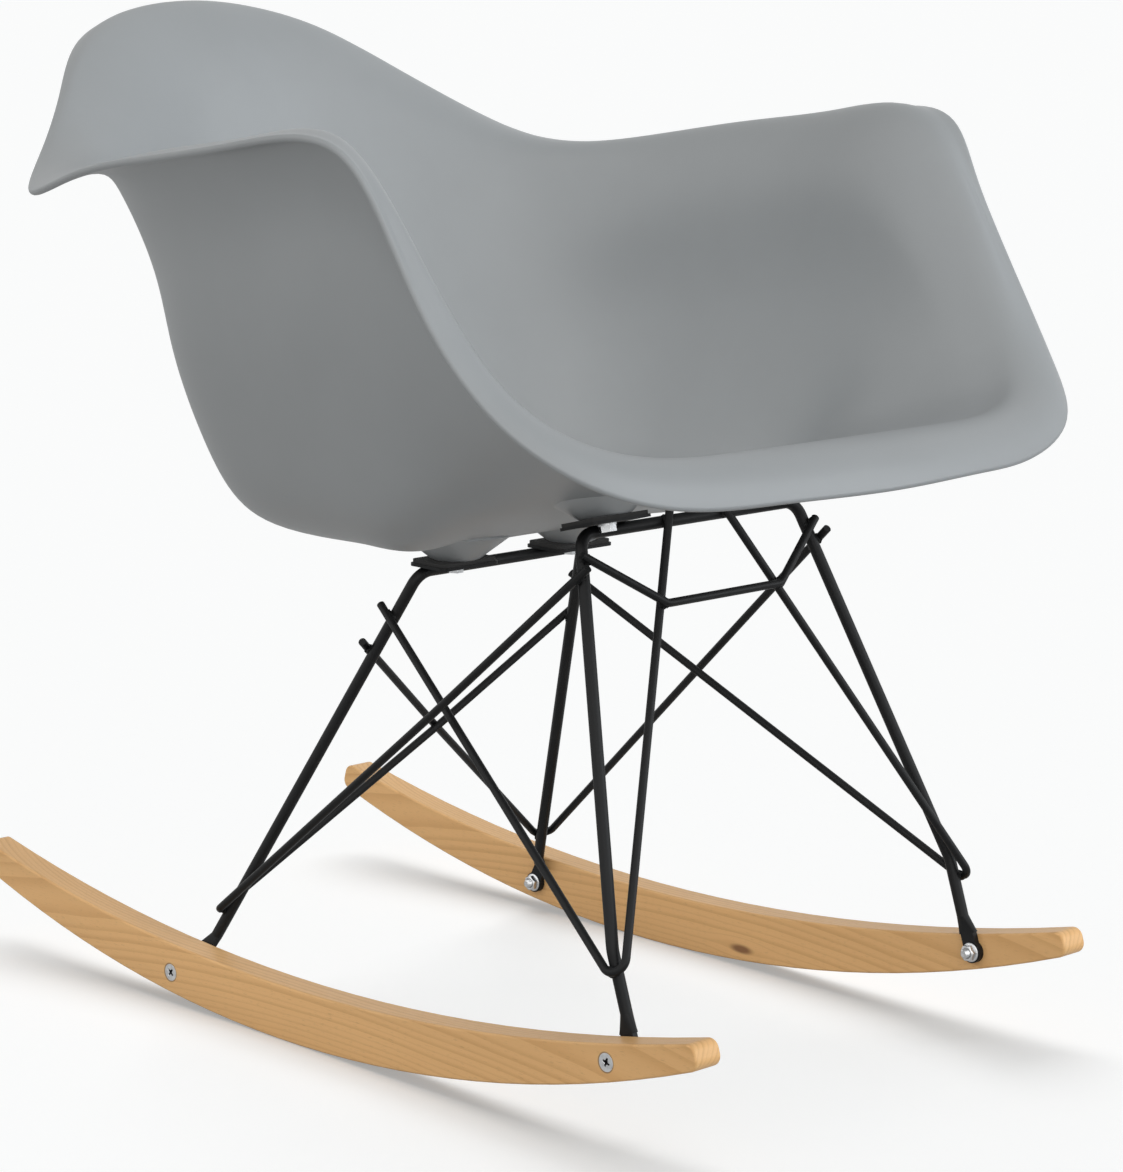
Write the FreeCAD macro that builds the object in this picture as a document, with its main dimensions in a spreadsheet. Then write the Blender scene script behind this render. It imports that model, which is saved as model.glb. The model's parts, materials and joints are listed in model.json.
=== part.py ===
# Moulded shell rocking chair on a wire base with two wooden rockers.
# Millimetres, +Z up. The sitter faces -Y, the chair is mirrored about X = 0,
# and the rockers stand on Z = 0.
import FreeCAD, Part
import Sketcher
import math
import os

V = FreeCAD.Vector
doc = FreeCAD.newDocument("rocking_chair")

# Sizes of the chair

SIZES = [
    # rockers
    ("rocker_length", 717.0),
    ("rocker_gap", 334.6),
    ("rocker_thickness", 22.0),
    ("rocker_height", 37.8),
    ("rocker_radius", 1054.0),
    ("rocker_top_radius", 1510.0),
    ("rocker_low_y", 17.0),
    ("rocker_top_low_y", 20.5),
    ("rocker_end_lean", 5.0),
    ("rocker_end_round", 7.0),
    ("rocker_edge_round", 1.5),
    # where the legs are bolted to the rockers
    ("front_bolt_y", -282.5),
    ("front_bolt_z", 56.5),
    ("rear_bolt_y", 136.1),
    ("rear_bolt_z", 21.2),
    # rods and wires
    ("rod_diameter", 8.0),
    ("wire_diameter", 5.5),
    ("weld_bite", 0.06),
    ("hoop_bend", 13.0),
    ("knee_bend", 28.0),
    ("wire_bend", 8.5),
    ("front_rail_half", 102.0),
    ("front_rail_y", -169.3),
    ("front_rail_z", 357.0),
    ("front_knee_y", -261.9),
    ("front_knee_z", 117.6),
    ("rear_rail_half", 77.6),
    ("rear_rail_y", 5.5),
    ("rear_rail_z", 306.5),
    ("rear_ankle_x", 156.8),
    ("rear_ankle_y", 124.8),
    ("rear_ankle_z", 44.0),
    ("side_brace_low", 118.0),
    ("side_brace_high", 275.0),
    ("side_brace_in", 27.4),
    ("cross_brace_low", 79.0),
    ("cross_brace_high", 249.0),
    ("cross_brace_top", 330.0),
    ("side_brace_past_leg", 11.0),
    ("side_brace_past_rail", 6.0),
    ("cross_brace_past_rear", 10.0),
    ("cross_brace_past_front", 12.0),
    ("cross_brace_bow", 120.0),
    ("stretcher_half", 54.0),
    ("stretcher_z", 311.5),
    ("stretcher_end_z", 341.0),
    ("stretcher_past", 5.0),
    # flattened feet of the legs
    ("foot_width", 15.0),
    ("foot_thickness", 4.2),
    ("foot_length", 13.0),
    ("foot_blend", 12.0),
    # seat mounts
    ("front_mount_x", 88.0),
    ("rear_mount_x", 55.0),
    ("mount_reach", 11.0),
    ("front_mount_tilt", 15.0),
    ("rear_mount_tilt", 0.0),
    ("plate_length", 52.0),
    ("plate_width", 36.0),
    ("plate_thickness", 2.0),
    ("pad_thickness", 2.5),
    ("pad_inset", 1.0),
    ("boss_foot_radius", 16.5),
    ("boss_top_radius", 40.0),
    ("boss_reach", 18.0),
    ("plate_back", 8.0),
    ("plate_corner", 5.0),
    # moulded shell
    ("shell_width", 610.0),
    ("shell_depth", 639.0),
    ("shell_height", 372.0),
    ("shell_front_y", -312.5),
    ("shell_low_y", 20.0),
    ("shell_low_z", 327.6),
    ("shell_wall", 5.0),
    ("seat_ring", 85.0),
    ("seat_dish_across", 0.0008),
    ("seat_dish_along", 0.0023),
    # fasteners
    ("bolt_diameter", 6.0),
    ("hole_clearance", 0.3),
    ("thread_clearance", 0.1),
    ("screw_head", 12.0),
    ("screw_slot_length", 6.4),
    ("screw_slot_width", 1.2),
    ("screw_slot_depth", 2.0),
    ("nut_flats", 10.0),
    ("nut_height", 5.0),
    ("nut_flange", 13.0),
    ("flange_thickness", 1.2),
    ("bolt_head_height", 4.0),
    ("bolt_tip", 3.0),
    ("seat_bolt_length", 14.0),
    ("insert_radius", 5.0),
    ("insert_depth", 9.5),
]

sheet = doc.addObject("Spreadsheet::Sheet", "sizes")
for row, (name, value) in enumerate(SIZES, start=1):
    sheet.set("A%d" % row, name)
    sheet.set("B%d" % row, str(value))
    sheet.setAlias("B%d" % row, name)
doc.recompute()


def size(name):
    """The value of one named size, from the sheet."""
    return float(sheet.get(name))


def bind(item, prop, formula):
    """Tie a property to the sheet and give its value at once."""
    item.setExpression(prop, formula)


def feature(name, shape):
    """A feature that carries a computed shape."""
    item = doc.addObject("Part::Feature", name)
    item.Shape = shape
    return item


def mirror(point, side):
    """The point on the given side: side is 1 for the sitter's left (+X), -1 for the right."""
    return V(point.x * side, point.y, point.z)


SIDES = (("left", 1), ("right", -1))
inner_x = size("rocker_gap") / 2
outer_x = inner_x + size("rocker_thickness")
rod_r = size("rod_diameter") / 2
wire_r = size("wire_diameter") / 2
rod_to_wire = rod_r + wire_r - size("weld_bite")
wire_to_wire = 2 * wire_r - size("weld_bite")

# Paths of the rods and wires


def bent_path(points, radii):
    """A line through the points whose inner corners are rounded by the given radii."""
    edges = []
    start = points[0]
    for i in range(1, len(points) - 1):
        before = (points[i - 1] - points[i]).normalize()
        after = (points[i + 1] - points[i]).normalize()
        half = before.getAngle(after) / 2
        if half > math.pi / 2 - 1e-4:
            continue
        cut = radii[i - 1] / math.tan(half)
        one = points[i] + before * cut
        two = points[i] + after * cut
        bisector = (before + after).normalize()
        centre = points[i] + bisector * (radii[i - 1] / math.sin(half))
        middle = centre - bisector * radii[i - 1]
        edges.append(Part.makeLine(start, one))
        edges.append(Part.Arc(one, middle, two).toShape())
        start = two
    edges.append(Part.makeLine(start, points[-1]))
    return Part.Wire(edges)


def gap(one, two):
    """Least distance between two paths."""
    return one.distToShape(two)[0]


def settle(path_at, others, wanted, low, high):
    """The amount at which the path is just the wanted distance from the others."""
    for _ in range(26):
        middle = (low + high) / 2
        if min(gap(path_at(middle), other) for other in others) < wanted:
            low = middle
        else:
            high = middle
    return high


def rod(name, path, diameter):
    """A round bar swept along a path."""
    line = feature(name + "_line", path)
    first = path.OrderedEdges[0]
    start = first.valueAt(first.FirstParameter)
    way = first.tangentAt(first.FirstParameter)
    circle = doc.addObject("Part::Circle", name + "_section")
    bind(circle, "Radius", "sizes.%s / 2" % diameter)
    circle.Placement = FreeCAD.Placement(start, FreeCAD.Rotation(V(0, 0, 1), way))
    sweep = doc.addObject("Part::Sweep", name)
    sweep.Sections = [circle]
    sweep.Spine = (line, ["Edge%d" % (i + 1) for i in range(len(path.Edges))])
    sweep.Solid = True
    sweep.Frenet = False
    return sweep


def boolean(kind, name, base, tool):
    """A cut or a common of two objects."""
    item = doc.addObject("Part::" + kind, name)
    item.Base = base
    item.Tool = tool
    return item


def fused(name, parts):
    """Several objects joined into one."""
    item = doc.addObject("Part::MultiFuse", name)
    item.Shapes = parts
    return item


# Rockers


def origin_plane(body, role):
    """One of the body's own base planes, found by its role."""
    for item in body.Origin.OriginFeatures:
        if item.Role == role:
            return item
    raise ValueError("no plane " + role)


def sketch_on_side(body, name, offset):
    """A sketch in the body's side plane, moved along X by a formula of the sheet."""
    sketch = body.newObject("Sketcher::SketchObject", name)
    sketch.AttachmentSupport = (origin_plane(body, "YZ_Plane"), [""])
    sketch.MapMode = "FlatFace"
    bind(sketch, "AttachmentOffset.Base.z", offset)
    return sketch


def rocker(name, side):
    """One wooden rocker: two arcs, blunt ends, and two countersunk holes from its outer face."""
    body = doc.addObject("PartDesign::Body", name)
    sign = "" if side > 0 else "-"
    sketch = sketch_on_side(body, name + "_outline", sign + "sizes.rocker_gap / 2")
    half = size("rocker_length") / 2
    low = V(size("rocker_low_y"), size("rocker_radius"), 0)
    high = V(size("rocker_top_low_y"), size("rocker_height") + size("rocker_top_radius"), 0)

    def on_arc(centre, radius, y):
        return V(y, centre.y - math.sqrt(radius ** 2 - (y - centre.x) ** 2), 0)

    r1 = size("rocker_radius")
    r2 = size("rocker_top_radius")
    lean = size("rocker_end_lean")
    a = on_arc(low, r1, -half)
    b = on_arc(low, r1, half)
    c = on_arc(high, r2, half - lean)
    d = on_arc(high, r2, -half + lean)

    def angle(centre, point):
        return math.atan2(point.y - centre.y, point.x - centre.x)

    bottom = Part.ArcOfCircle(Part.Circle(low, V(0, 0, 1), r1), angle(low, a), angle(low, b))
    top = Part.ArcOfCircle(Part.Circle(high, V(0, 0, 1), r2), angle(high, d), angle(high, c))
    sketch.addGeometry([bottom, top, Part.LineSegment(b, c), Part.LineSegment(d, a)], False)
    con = Sketcher.Constraint
    sketch.addConstraint([
        con("Coincident", 0, 2, 2, 1),
        con("Coincident", 2, 2, 1, 2),
        con("Coincident", 1, 1, 3, 1),
        con("Coincident", 3, 2, 0, 1),
        con("Radius", 0, r1),
        con("Radius", 1, r2),
        con("DistanceX", -1, 1, 0, 3, low.x),
        con("DistanceY", -1, 1, 0, 3, low.y),
        con("DistanceX", -1, 1, 1, 3, high.x),
        con("DistanceY", -1, 1, 1, 3, high.y),
        con("DistanceX", -1, 1, 2, 1, half),
        con("DistanceX", 3, 2, -1, 1, half),
        con("DistanceX", 1, 2, 0, 2, lean),
        con("DistanceX", 0, 1, 1, 1, lean),
    ])
    for index, formula in (
        (4, "sizes.rocker_radius"),
        (5, "sizes.rocker_top_radius"),
        (6, "sizes.rocker_low_y"),
        (7, "sizes.rocker_radius"),
        (8, "sizes.rocker_top_low_y"),
        (9, "sizes.rocker_height + sizes.rocker_top_radius"),
        (10, "sizes.rocker_length / 2"),
        (11, "sizes.rocker_length / 2"),
        (12, "sizes.rocker_end_lean"),
        (13, "sizes.rocker_end_lean"),
    ):
        bind(sketch, "Constraints[%d]" % index, formula)
    pad = body.newObject("PartDesign::Pad", name + "_plank")
    pad.Profile = sketch
    bind(pad, "Length", "sizes.rocker_thickness")
    pad.Reversed = side < 0
    doc.recompute()
    corners = []
    for i, edge in enumerate(pad.Shape.Edges, start=1):
        if abs(edge.Vertexes[0].X - edge.Vertexes[-1].X) > 1:
            corners.append("Edge%d" % i)
    ends = body.newObject("PartDesign::Fillet", name + "_ends")
    ends.Base = (pad, corners)
    bind(ends, "Radius", "sizes.rocker_end_round")
    doc.recompute()
    rims = []
    for i, edge in enumerate(ends.Shape.Edges, start=1):
        xs = [v.X for v in edge.Vertexes]
        if max(xs) - min(xs) < 1e-6:
            rims.append("Edge%d" % i)
    soft = body.newObject("PartDesign::Fillet", name + "_edges")
    soft.Base = (ends, rims)
    bind(soft, "Radius", "sizes.rocker_edge_round")
    doc.recompute()
    outer_face = sign + "(sizes.rocker_gap / 2 + sizes.rocker_thickness)"
    spots = sketch_on_side(body, name + "_holes_at", outer_face)
    for k, end in enumerate(("front", "rear")):
        centre = V(size(end + "_bolt_y"), size(end + "_bolt_z"), 0)
        spots.addGeometry(Part.Circle(centre, V(0, 0, 1), size("bolt_diameter") / 2), False)
        spots.addConstraint([
            con("Radius", k, size("bolt_diameter") / 2),
            con("DistanceX", -1, 1, k, 3, centre.x),
            con("DistanceY", -1, 1, k, 3, centre.y),
        ])
        bind(spots, "Constraints[%d]" % (3 * k), "sizes.bolt_diameter / 2")
        bind(spots, "Constraints[%d]" % (3 * k + 1), "sizes.%s_bolt_y" % end)
        bind(spots, "Constraints[%d]" % (3 * k + 2), "sizes.%s_bolt_z" % end)
    doc.recompute()
    holes = body.newObject("PartDesign::Hole", name + "_holes")
    holes.Profile = spots
    holes.Threaded = False
    holes.DepthType = "ThroughAll"
    holes.HoleCutType = "Countersink"
    holes.HoleCutCustomValues = True
    bind(holes, "Diameter", "sizes.bolt_diameter + sizes.hole_clearance")
    bind(holes, "HoleCutDiameter", "sizes.screw_head + sizes.hole_clearance")
    holes.HoleCutCountersinkAngle = 90
    holes.Reversed = side < 0
    body.Tip = holes
    doc.recompute()
    return body


NODES = {}
for word, side in SIDES:
    NODES["rocker_" + word] = rocker("rocker_" + word, side)

# Hoops: rail, two legs and flattened feet

front_corner = V(size("front_rail_half"), size("front_rail_y"), size("front_rail_z"))
rear_corner = V(size("rear_rail_half"), size("rear_rail_y"), size("rear_rail_z"))
leg_x = inner_x - rod_r
front_knee = V(leg_x, size("front_knee_y"), size("front_knee_z"))
rear_ankle = V(size("rear_ankle_x"), size("rear_ankle_y"), size("rear_ankle_z"))
foot_x = inner_x - size("foot_thickness") / 2
front_bolt = V(foot_x, size("front_bolt_y"), size("front_bolt_z"))
rear_bolt = V(foot_x, size("rear_bolt_y"), size("rear_bolt_z"))


def section(centre, way, across, half_width, half_depth, flat):
    """A closed section of four edges, round or flattened, square to the way."""
    out = way.cross(across).normalize()
    wide = out.cross(way).normalize()
    if flat:
        run, rise = half_width - half_depth, half_depth
    else:
        run = rise = math.sqrt(0.5) * half_width
    ends = [(run, rise), (-run, rise), (-run, -rise), (run, -rise)]
    tips = [(0, half_depth), (-half_width, 0), (0, -half_depth), (half_width, 0)]
    place = [centre + wide * x + out * y for x, y in ends]
    tops = [centre + wide * x + out * y for x, y in tips]
    edges = []
    for i in range(4):
        a, b = place[i], place[(i + 1) % 4]
        if flat and i % 2 == 0:
            edges.append(Part.makeLine(a, b))
        else:
            edges.append(Part.Arc(a, tops[i], b).toShape())
    return Part.Wire(edges)


def foot(name, side, last, way, bolt, rise):
    """The flattened end of a leg: a blend from the round rod, and a drilled tab beside the rocker."""
    up = V(0, last.y - bolt.y, last.z - bolt.z).normalize()
    across = V(0, 1, 0)
    tab_top = bolt + up * rise
    half_w = size("foot_width") / 2
    half_t = size("foot_thickness") / 2
    one = section(mirror(last, side), mirror(way, side), across, rod_r, rod_r, False)
    two = section(mirror(tab_top, side), mirror(up * -1, side), across, half_w, half_t, True)
    blend = feature(name + "_blend", Part.makeLoft([one, two], True, True))
    round_end = doc.addObject("Part::Cylinder", name + "_round")
    bind(round_end, "Radius", "sizes.foot_width / 2")
    bind(round_end, "Height", "sizes.foot_thickness")
    face_x = inner_x - 2 * half_t
    base = V(face_x if side > 0 else -inner_x, bolt.y, bolt.z)
    round_end.Placement = FreeCAD.Placement(base, FreeCAD.Rotation(V(0, 0, 1), V(1, 0, 0)))
    strip = doc.addObject("Part::Box", name + "_strip")
    bind(strip, "Length", "sizes.foot_thickness")
    bind(strip, "Width", "sizes.foot_width - sizes.foot_thickness")
    strip.Height = rise
    lean = math.degrees(math.atan2(up.y, up.z))
    turn = FreeCAD.Rotation(V(1, 0, 0), -lean)
    corner = base + turn.multVec(V(0, -(half_w - half_t), 0))
    strip.Placement = FreeCAD.Placement(corner, turn)
    hole = doc.addObject("Part::Cylinder", name + "_hole")
    bind(hole, "Radius", "(sizes.bolt_diameter + sizes.hole_clearance) / 2")
    bind(hole, "Height", "sizes.foot_thickness * 3")
    start = base - V(size("foot_thickness"), 0, 0)
    hole.Placement = FreeCAD.Placement(start, FreeCAD.Rotation(V(0, 0, 1), V(1, 0, 0)))
    return [blend, round_end, strip], hole


def hoop(name, corner, low, bolt, rise, knee=None):
    """A bent rod with a level rail, two legs and two flattened feet."""
    right = [mirror(p, -1) for p in ((low, knee, corner) if knee else (low, corner))]
    left = [mirror(p, -1) for p in reversed(right)]
    bend = size("hoop_bend")
    radii = [size("knee_bend"), bend, bend, size("knee_bend")] if knee else [bend, bend]
    bar = rod(name + "_bar", bent_path(right + left, radii), "rod_diameter")
    parts = [bar]
    holes = []
    way = (low - (knee or corner)).normalize()
    for word, side in SIDES:
        pieces, hole = foot(name + "_" + word, side, low, way, bolt, rise)
        parts += pieces
        holes.append(hole)
    whole = fused(name + "_solid", parts)
    drill = fused(name + "_drill", holes)
    return boolean("Cut", name, whole, drill)


front_low = front_bolt + V(leg_x - foot_x, 0, 0)
down = V(0, front_knee.y - front_bolt.y, front_knee.z - front_bolt.z).normalize()
front_low = front_low + down * (size("foot_length") + size("foot_blend"))
tab = size("foot_length")
NODES["front_hoop"] = hoop("front_hoop", front_corner, front_low, front_bolt, tab, front_knee)
NODES["rear_hoop"] = hoop("rear_hoop", rear_corner, rear_ankle, rear_bolt, tab)

# Braces and stretcher, laid against the hoops where they are welded


class Bar:
    """A straight stretch of a hoop, on one side."""

    def __init__(self, one, two, side):
        self.one = mirror(one, side)
        self.two = mirror(two, side)
        self.way = (self.two - self.one).normalize()

    def at_height(self, z):
        """The bar's point at a height."""
        return self.one + (self.two - self.one) * ((z - self.one.z) / (self.two.z - self.one.z))


def touch(bar, spot, seen_from, toward):
    """Where a wire from another point touches the bar near the spot, on the side named by toward."""
    point = spot
    for _ in range(8):
        way = (point - seen_from).normalize()
        out = bar.way.cross(way).normalize()
        if out.dot(toward) < 0:
            out = out * -1
        point = spot + out * rod_to_wire
    return point


def wrapped(bar, leg, z, ends, towards, spots, others):
    """A wire bent round one leg, its two arms lying against other bars further on."""
    centre = bar.at_height(z)
    corner = centre
    tips = list(spots)

    def beyond(amount):
        """The corner of the wire, past the leg on the side away from its two arms."""
        bisector = sum(((t - centre).normalize() for t in tips), V()).normalize()
        return centre - bisector * amount

    def bent(amount):
        """The bent wire with its corner that far past the leg."""
        return bent_path([tips[0], beyond(amount), tips[1]], [size("wire_bend")])

    for _ in range(4):
        tips = [touch(o, s, corner, w) for o, s, w in zip(others, spots, towards)]
        corner = beyond(settle(bent, [leg], rod_to_wire, 8, 60))
    out = []
    for tip, past in zip(tips, ends):
        out.append(tip + (tip - corner).normalize() * past)
    return out[0], corner, out[1]


WIRES = {}
shin_top = 240.0
for word, side in SIDES:
    aside = V(side, 0, 0)
    front_leg = Bar(front_corner, front_knee, side)
    rear_leg = Bar(rear_corner, rear_ankle, side)
    far_rear_leg = Bar(rear_corner, rear_ankle, -side)
    front_rail = Bar(front_corner, mirror(front_corner, -1), side)
    low_front = [front_leg.at_height(shin_top), front_leg.two, mirror(front_low, side)]
    front_shin = bent_path(low_front, [size("knee_bend")])
    rear_shin = Part.makeLine(rear_leg.at_height(shin_top), rear_leg.two)
    # side brace: rear leg, round the front leg, up to the front rail
    on_rail = V(size("side_brace_in") * side, front_corner.y, front_corner.z)
    WIRES["side_brace_" + word] = wrapped(
        front_leg, front_shin, size("side_brace_low"),
        (size("side_brace_past_leg"), size("side_brace_past_rail")),
        (aside, V(0, -1, 0)),
        (rear_leg.at_height(size("side_brace_high")), on_rail),
        (rear_leg, front_rail))
    # cross brace: other rear leg, round the rear leg, up to the front leg
    on_leg = front_leg.at_height(size("cross_brace_top"))
    WIRES["cross_brace_" + word] = wrapped(
        rear_leg, rear_shin, size("cross_brace_low"),
        (size("cross_brace_past_rear"), size("cross_brace_past_front")),
        (V(0, 1, 0), aside),
        (far_rear_leg.at_height(size("cross_brace_high")), on_leg),
        (far_rear_leg, front_leg))


def bent_wire(points):
    """The path of a bent wire through its points, each bend the same."""
    return bent_path(points, [size("wire_bend")] * (len(points) - 2))


for word, side in SIDES:
    brace = WIRES["side_brace_" + word]
    NODES["side_brace_" + word] = rod("side_brace_" + word, bent_wire(brace), "wire_diameter")
    one, corner, two = WIRES["cross_brace_" + word]
    # the front arm bows outward to pass the side brace
    brace_arm = Part.makeLine(brace[0], brace[1])
    arm = Part.makeLine(corner, two)
    near = arm.distToShape(brace_arm)[1][0][0]
    out = (two - corner).cross(brace[1] - brace[0]).normalize()
    if out.x * side < 0:
        out = out * -1
    # the rear arms pass each other halfway across, one behind the other
    middle = one + (corner - one) * (one.x / (one.x - corner.x)) + V(0, side * wire_r, 0)

    def crossed(amount):
        """The cross brace with its front arm pushed outward by an amount."""
        bow = size("cross_brace_bow")
        points = [one, middle, corner, near + out * amount, two]
        return bent_path(points, [bow, size("wire_bend"), bow])

    lift = settle(crossed, [brace_arm], wire_to_wire, -2, 14)
    NODES["cross_brace_" + word] = rod("cross_brace_" + word, crossed(lift), "wire_diameter")

front_leg = Bar(front_corner, front_knee, 1)
stretcher_end = front_leg.at_height(size("stretcher_end_z"))


def stretcher_path(forward):
    """The stretcher pushed forward by an amount from the legs' plane."""
    bend = V(size("stretcher_half"), size("front_rail_y") - forward, size("stretcher_z"))
    end = touch(front_leg, stretcher_end, bend, V(0, -1, 0))
    tip = end + (end - bend).normalize() * size("stretcher_past")
    return bent_wire([mirror(tip, -1), mirror(bend, -1), bend, tip])


braces = [bent_wire(WIRES["side_brace_" + word]) for word, side in SIDES]
forward = settle(stretcher_path, braces, wire_to_wire, 18, 60)
NODES["front_stretcher"] = rod("front_stretcher", stretcher_path(forward), "wire_diameter")


# Moulded shell

# The rolled rim as fractions of the half width, the depth from the front lip and the
# height above the lowest point of the seat, from the middle of the front lip round one
# arm to the middle of the back: the outer edge of the rim, then the crest of its roll.
EDGE = [
    (0.000, 0.000, 0.140), (0.328, 0.006, 0.147), (0.591, 0.018, 0.162),
    (0.765, 0.033, 0.211), (0.865, 0.075, 0.290), (0.912, 0.132, 0.424),
    (0.931, 0.194, 0.605), (0.968, 0.246, 0.696), (1.000, 0.376, 0.693),
    (0.989, 0.521, 0.672), (0.951, 0.656, 0.649), (0.858, 0.764, 0.628),
    (0.731, 0.839, 0.720), (0.571, 0.909, 0.837), (0.394, 0.974, 0.936),
    (0.204, 0.997, 0.977), (0.000, 1.000, 0.982),
]
CREST = [
    (0.000, 0.055, 0.233), (0.315, 0.057, 0.233), (0.557, 0.065, 0.244),
    (0.696, 0.084, 0.280), (0.782, 0.119, 0.346), (0.837, 0.163, 0.465),
    (0.867, 0.218, 0.639), (0.879, 0.273, 0.776), (0.884, 0.388, 0.790),
    (0.868, 0.523, 0.768), (0.822, 0.652, 0.742), (0.723, 0.763, 0.738),
    (0.618, 0.837, 0.783), (0.495, 0.901, 0.866), (0.342, 0.952, 0.947),
    (0.180, 0.976, 0.993), (0.000, 0.978, 1.000),
]
# Half sections from the dish of the seat out to the crest, as fractions of the run and
# the rise from its lowest point: toward the front lip, toward an arm and toward the back.
FRONT = [(0.52, 0.44), (0.68, 0.64), (0.80, 0.79), (0.89, 0.90), (0.955, 0.97)]
SIDE = [(0.65, 0.09), (0.76, 0.26), (0.835, 0.505), (0.865, 0.70), (0.92, 0.885)]
BACK = [(0.41, 0.115), (0.52, 0.235), (0.64, 0.41), (0.78, 0.66), (0.92, 0.91)]
# The directions, in degrees from straight ahead, over which the front section gives way
# to the arm's and the arm's to the back's.
FRONT_TO_SIDE = (30, 62)
SIDE_TO_BACK = (104, 165)
# The share of the way from the crest to the edge, outward and down, at half the roll.
ROLL_OUT, ROLL_DOWN = 0.62, 0.30


def smooth(x, low, high):
    """An even step from 0 at low to 1 at high."""
    t = min(max((x - low) / (high - low), 0.0), 1.0)
    return t * t * (3 - 2 * t)


def shell_point(spot):
    """The place of one point of the rim."""
    x, y, z = spot
    return V(
        x * size("shell_width") / 2,
        size("shell_front_y") + y * size("shell_depth"),
        size("shell_low_z") + z * size("shell_height"))


seat_low = V(0, size("shell_low_y"), size("shell_low_z"))


def station(k):
    """One half section of the shell's inner face, from the lowest point to the rim's edge."""
    crest = shell_point(CREST[k])
    edge = shell_point(EDGE[k])
    run = V(crest.x - seat_low.x, crest.y - seat_low.y, 0)
    rise = crest.z - seat_low.z
    turn = math.degrees(math.atan2(run.x, -run.y))
    front = 1 - smooth(turn, *FRONT_TO_SIDE)
    back = smooth(turn, *SIDE_TO_BACK)
    arm = 1 - front - back
    ring = V(run.x, run.y, 0).normalize() * size("seat_ring")
    dish = size("seat_dish_across") * ring.x ** 2 + size("seat_dish_along") * ring.y ** 2
    points = [seat_low, seat_low + ring + V(0, 0, dish)]
    for f, a, b in zip(FRONT, SIDE, BACK):
        out = front * f[0] + arm * a[0] + back * b[0]
        up = front * f[1] + arm * a[1] + back * b[1]
        points.append(seat_low + run * out + V(0, 0, rise * up))
    fall = edge - crest
    roll = crest + V(fall.x * ROLL_OUT, fall.y * ROLL_OUT, fall.z * ROLL_DOWN)
    return points + [crest, roll, edge]


half = [station(k) for k in range(len(CREST))]
around = half + [[mirror(p, -1) for p in row] for row in reversed(half[1:-1])]


def spread(rows):
    """Parameters from 0 to 1 by the mean distance between neighbours along many rows."""
    steps = []
    for j in range(len(rows[0]) - 1):
        steps.append(sum((row[j + 1] - row[j]).Length for row in rows) / len(rows))
    total = sum(steps)
    out = [0.0]
    for step in steps:
        out.append(out[-1] + step / total)
    out[-1] = 1.0
    return out


closed = [[row[j] for row in around] + [around[0][j]] for j in range(1, len(around[0]))]
turns = spread(closed)


def through(points, marks):
    """A smooth curve through points at the given parameters."""
    curve = Part.BSplineCurve()
    curve.interpolate(Points=points, Parameters=marks)
    return curve


def skin(rows, marks):
    """A smooth closed surface through rows of points; each row is one station's section.

    The net is carried on a few stations past the seam, and past the lowest point into the
    station opposite, so that the surface runs smoothly through both, and then cut back.
    """
    past = 5
    count = len(rows)
    order = [i % count for i in range(-past, count + past + 1)]
    u = [turns[i] - 1 for i in range(count - past, count)] + turns
    u += [turns[i] + 1 for i in range(1, past + 1)]
    pole = (rows[0][0] - rows[1][0]).Length < 1e-9
    deep = 3 if pole else 0
    v = [-marks[j] for j in range(deep, 0, -1)] + marks
    curves = []
    for i in order:
        other = rows[(i + count // 2) % count]
        curves.append(through([other[j] for j in range(deep, 0, -1)] + rows[i], v))
    rings = [through([c.getPole(j + 1) for c in curves], u) for j in range(curves[0].NbPoles)]
    poles = [[ring.getPole(i + 1) for ring in rings] for i in range(rings[0].NbPoles)]
    surface = Part.BSplineSurface()
    surface.buildFromPolesMultsKnots(
        poles, rings[0].getMultiplicities(), curves[0].getMultiplicities(),
        rings[0].getKnots(), curves[0].getKnots(), False, False, rings[0].Degree, curves[0].Degree)
    surface.segment(0.0, 1.0, 0.0, 1.0)
    return surface


marks = spread(around)
inner = skin(around, marks)
wall = size("shell_wall")


def outward(i, j):
    """The direction from the inner face to the outer face at one point of the net."""
    if j == 0:
        return V(0, 0, -1)
    n = inner.normal(turns[i], marks[j])
    du = around[(i + 1) % len(around)][j] - around[i - 1][j]
    row = around[i]
    dv = row[min(j + 1, len(row) - 1)] - row[j - 1]
    want = du.cross(dv)
    return n if n.dot(want) > 0 else n * -1


normals = [[outward(i, j) for j in range(len(row))] for i, row in enumerate(around)]


def offset(amount):
    """The net moved out from the inner face by an amount."""
    return [[p + n * amount for p, n in zip(row, ns)] for row, ns in zip(around, normals)]


outer_rows = offset(wall)
outer = skin(outer_rows, marks)
rim = skin([[one[-1], two[-1]] for one, two in zip(around, outer_rows)], [0.0, 1.0])

faces = [surface.toShape() for surface in (inner, rim, outer)]
skin_solid = Part.makeSolid(Part.makeShell(faces))
if skin_solid.Volume < 0:
    skin_solid.reverse()
seat_skin = feature("seat_skin", skin_solid)

# the space above the middle of the wall, which trims the bosses under the seat
middle = skin(offset(wall / 2), marks)
middle.segment(0.0, 1.0, 0.0, marks[4])
above_seat = feature("above_seat", middle.toShape().extrude(V(0, 0, size("shell_height") / 3)))

# Seat mounts: plate, pad, boss, insert and bolt, built in one frame each


def mount_frame(x, rail_y, rail_z, tilt):
    """A frame on the underside of a mount plate at its bolt, its Y to the rear."""
    turn = FreeCAD.Rotation(V(1, 0, 0), -tilt)
    up = turn.multVec(V(0, 0, 1))
    back = turn.multVec(V(0, 1, 0))
    on_rail = V(x, rail_y, rail_z) + up * (rod_r - size("weld_bite"))
    return FreeCAD.Placement(on_rail - back * size("mount_reach"), turn)


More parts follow.
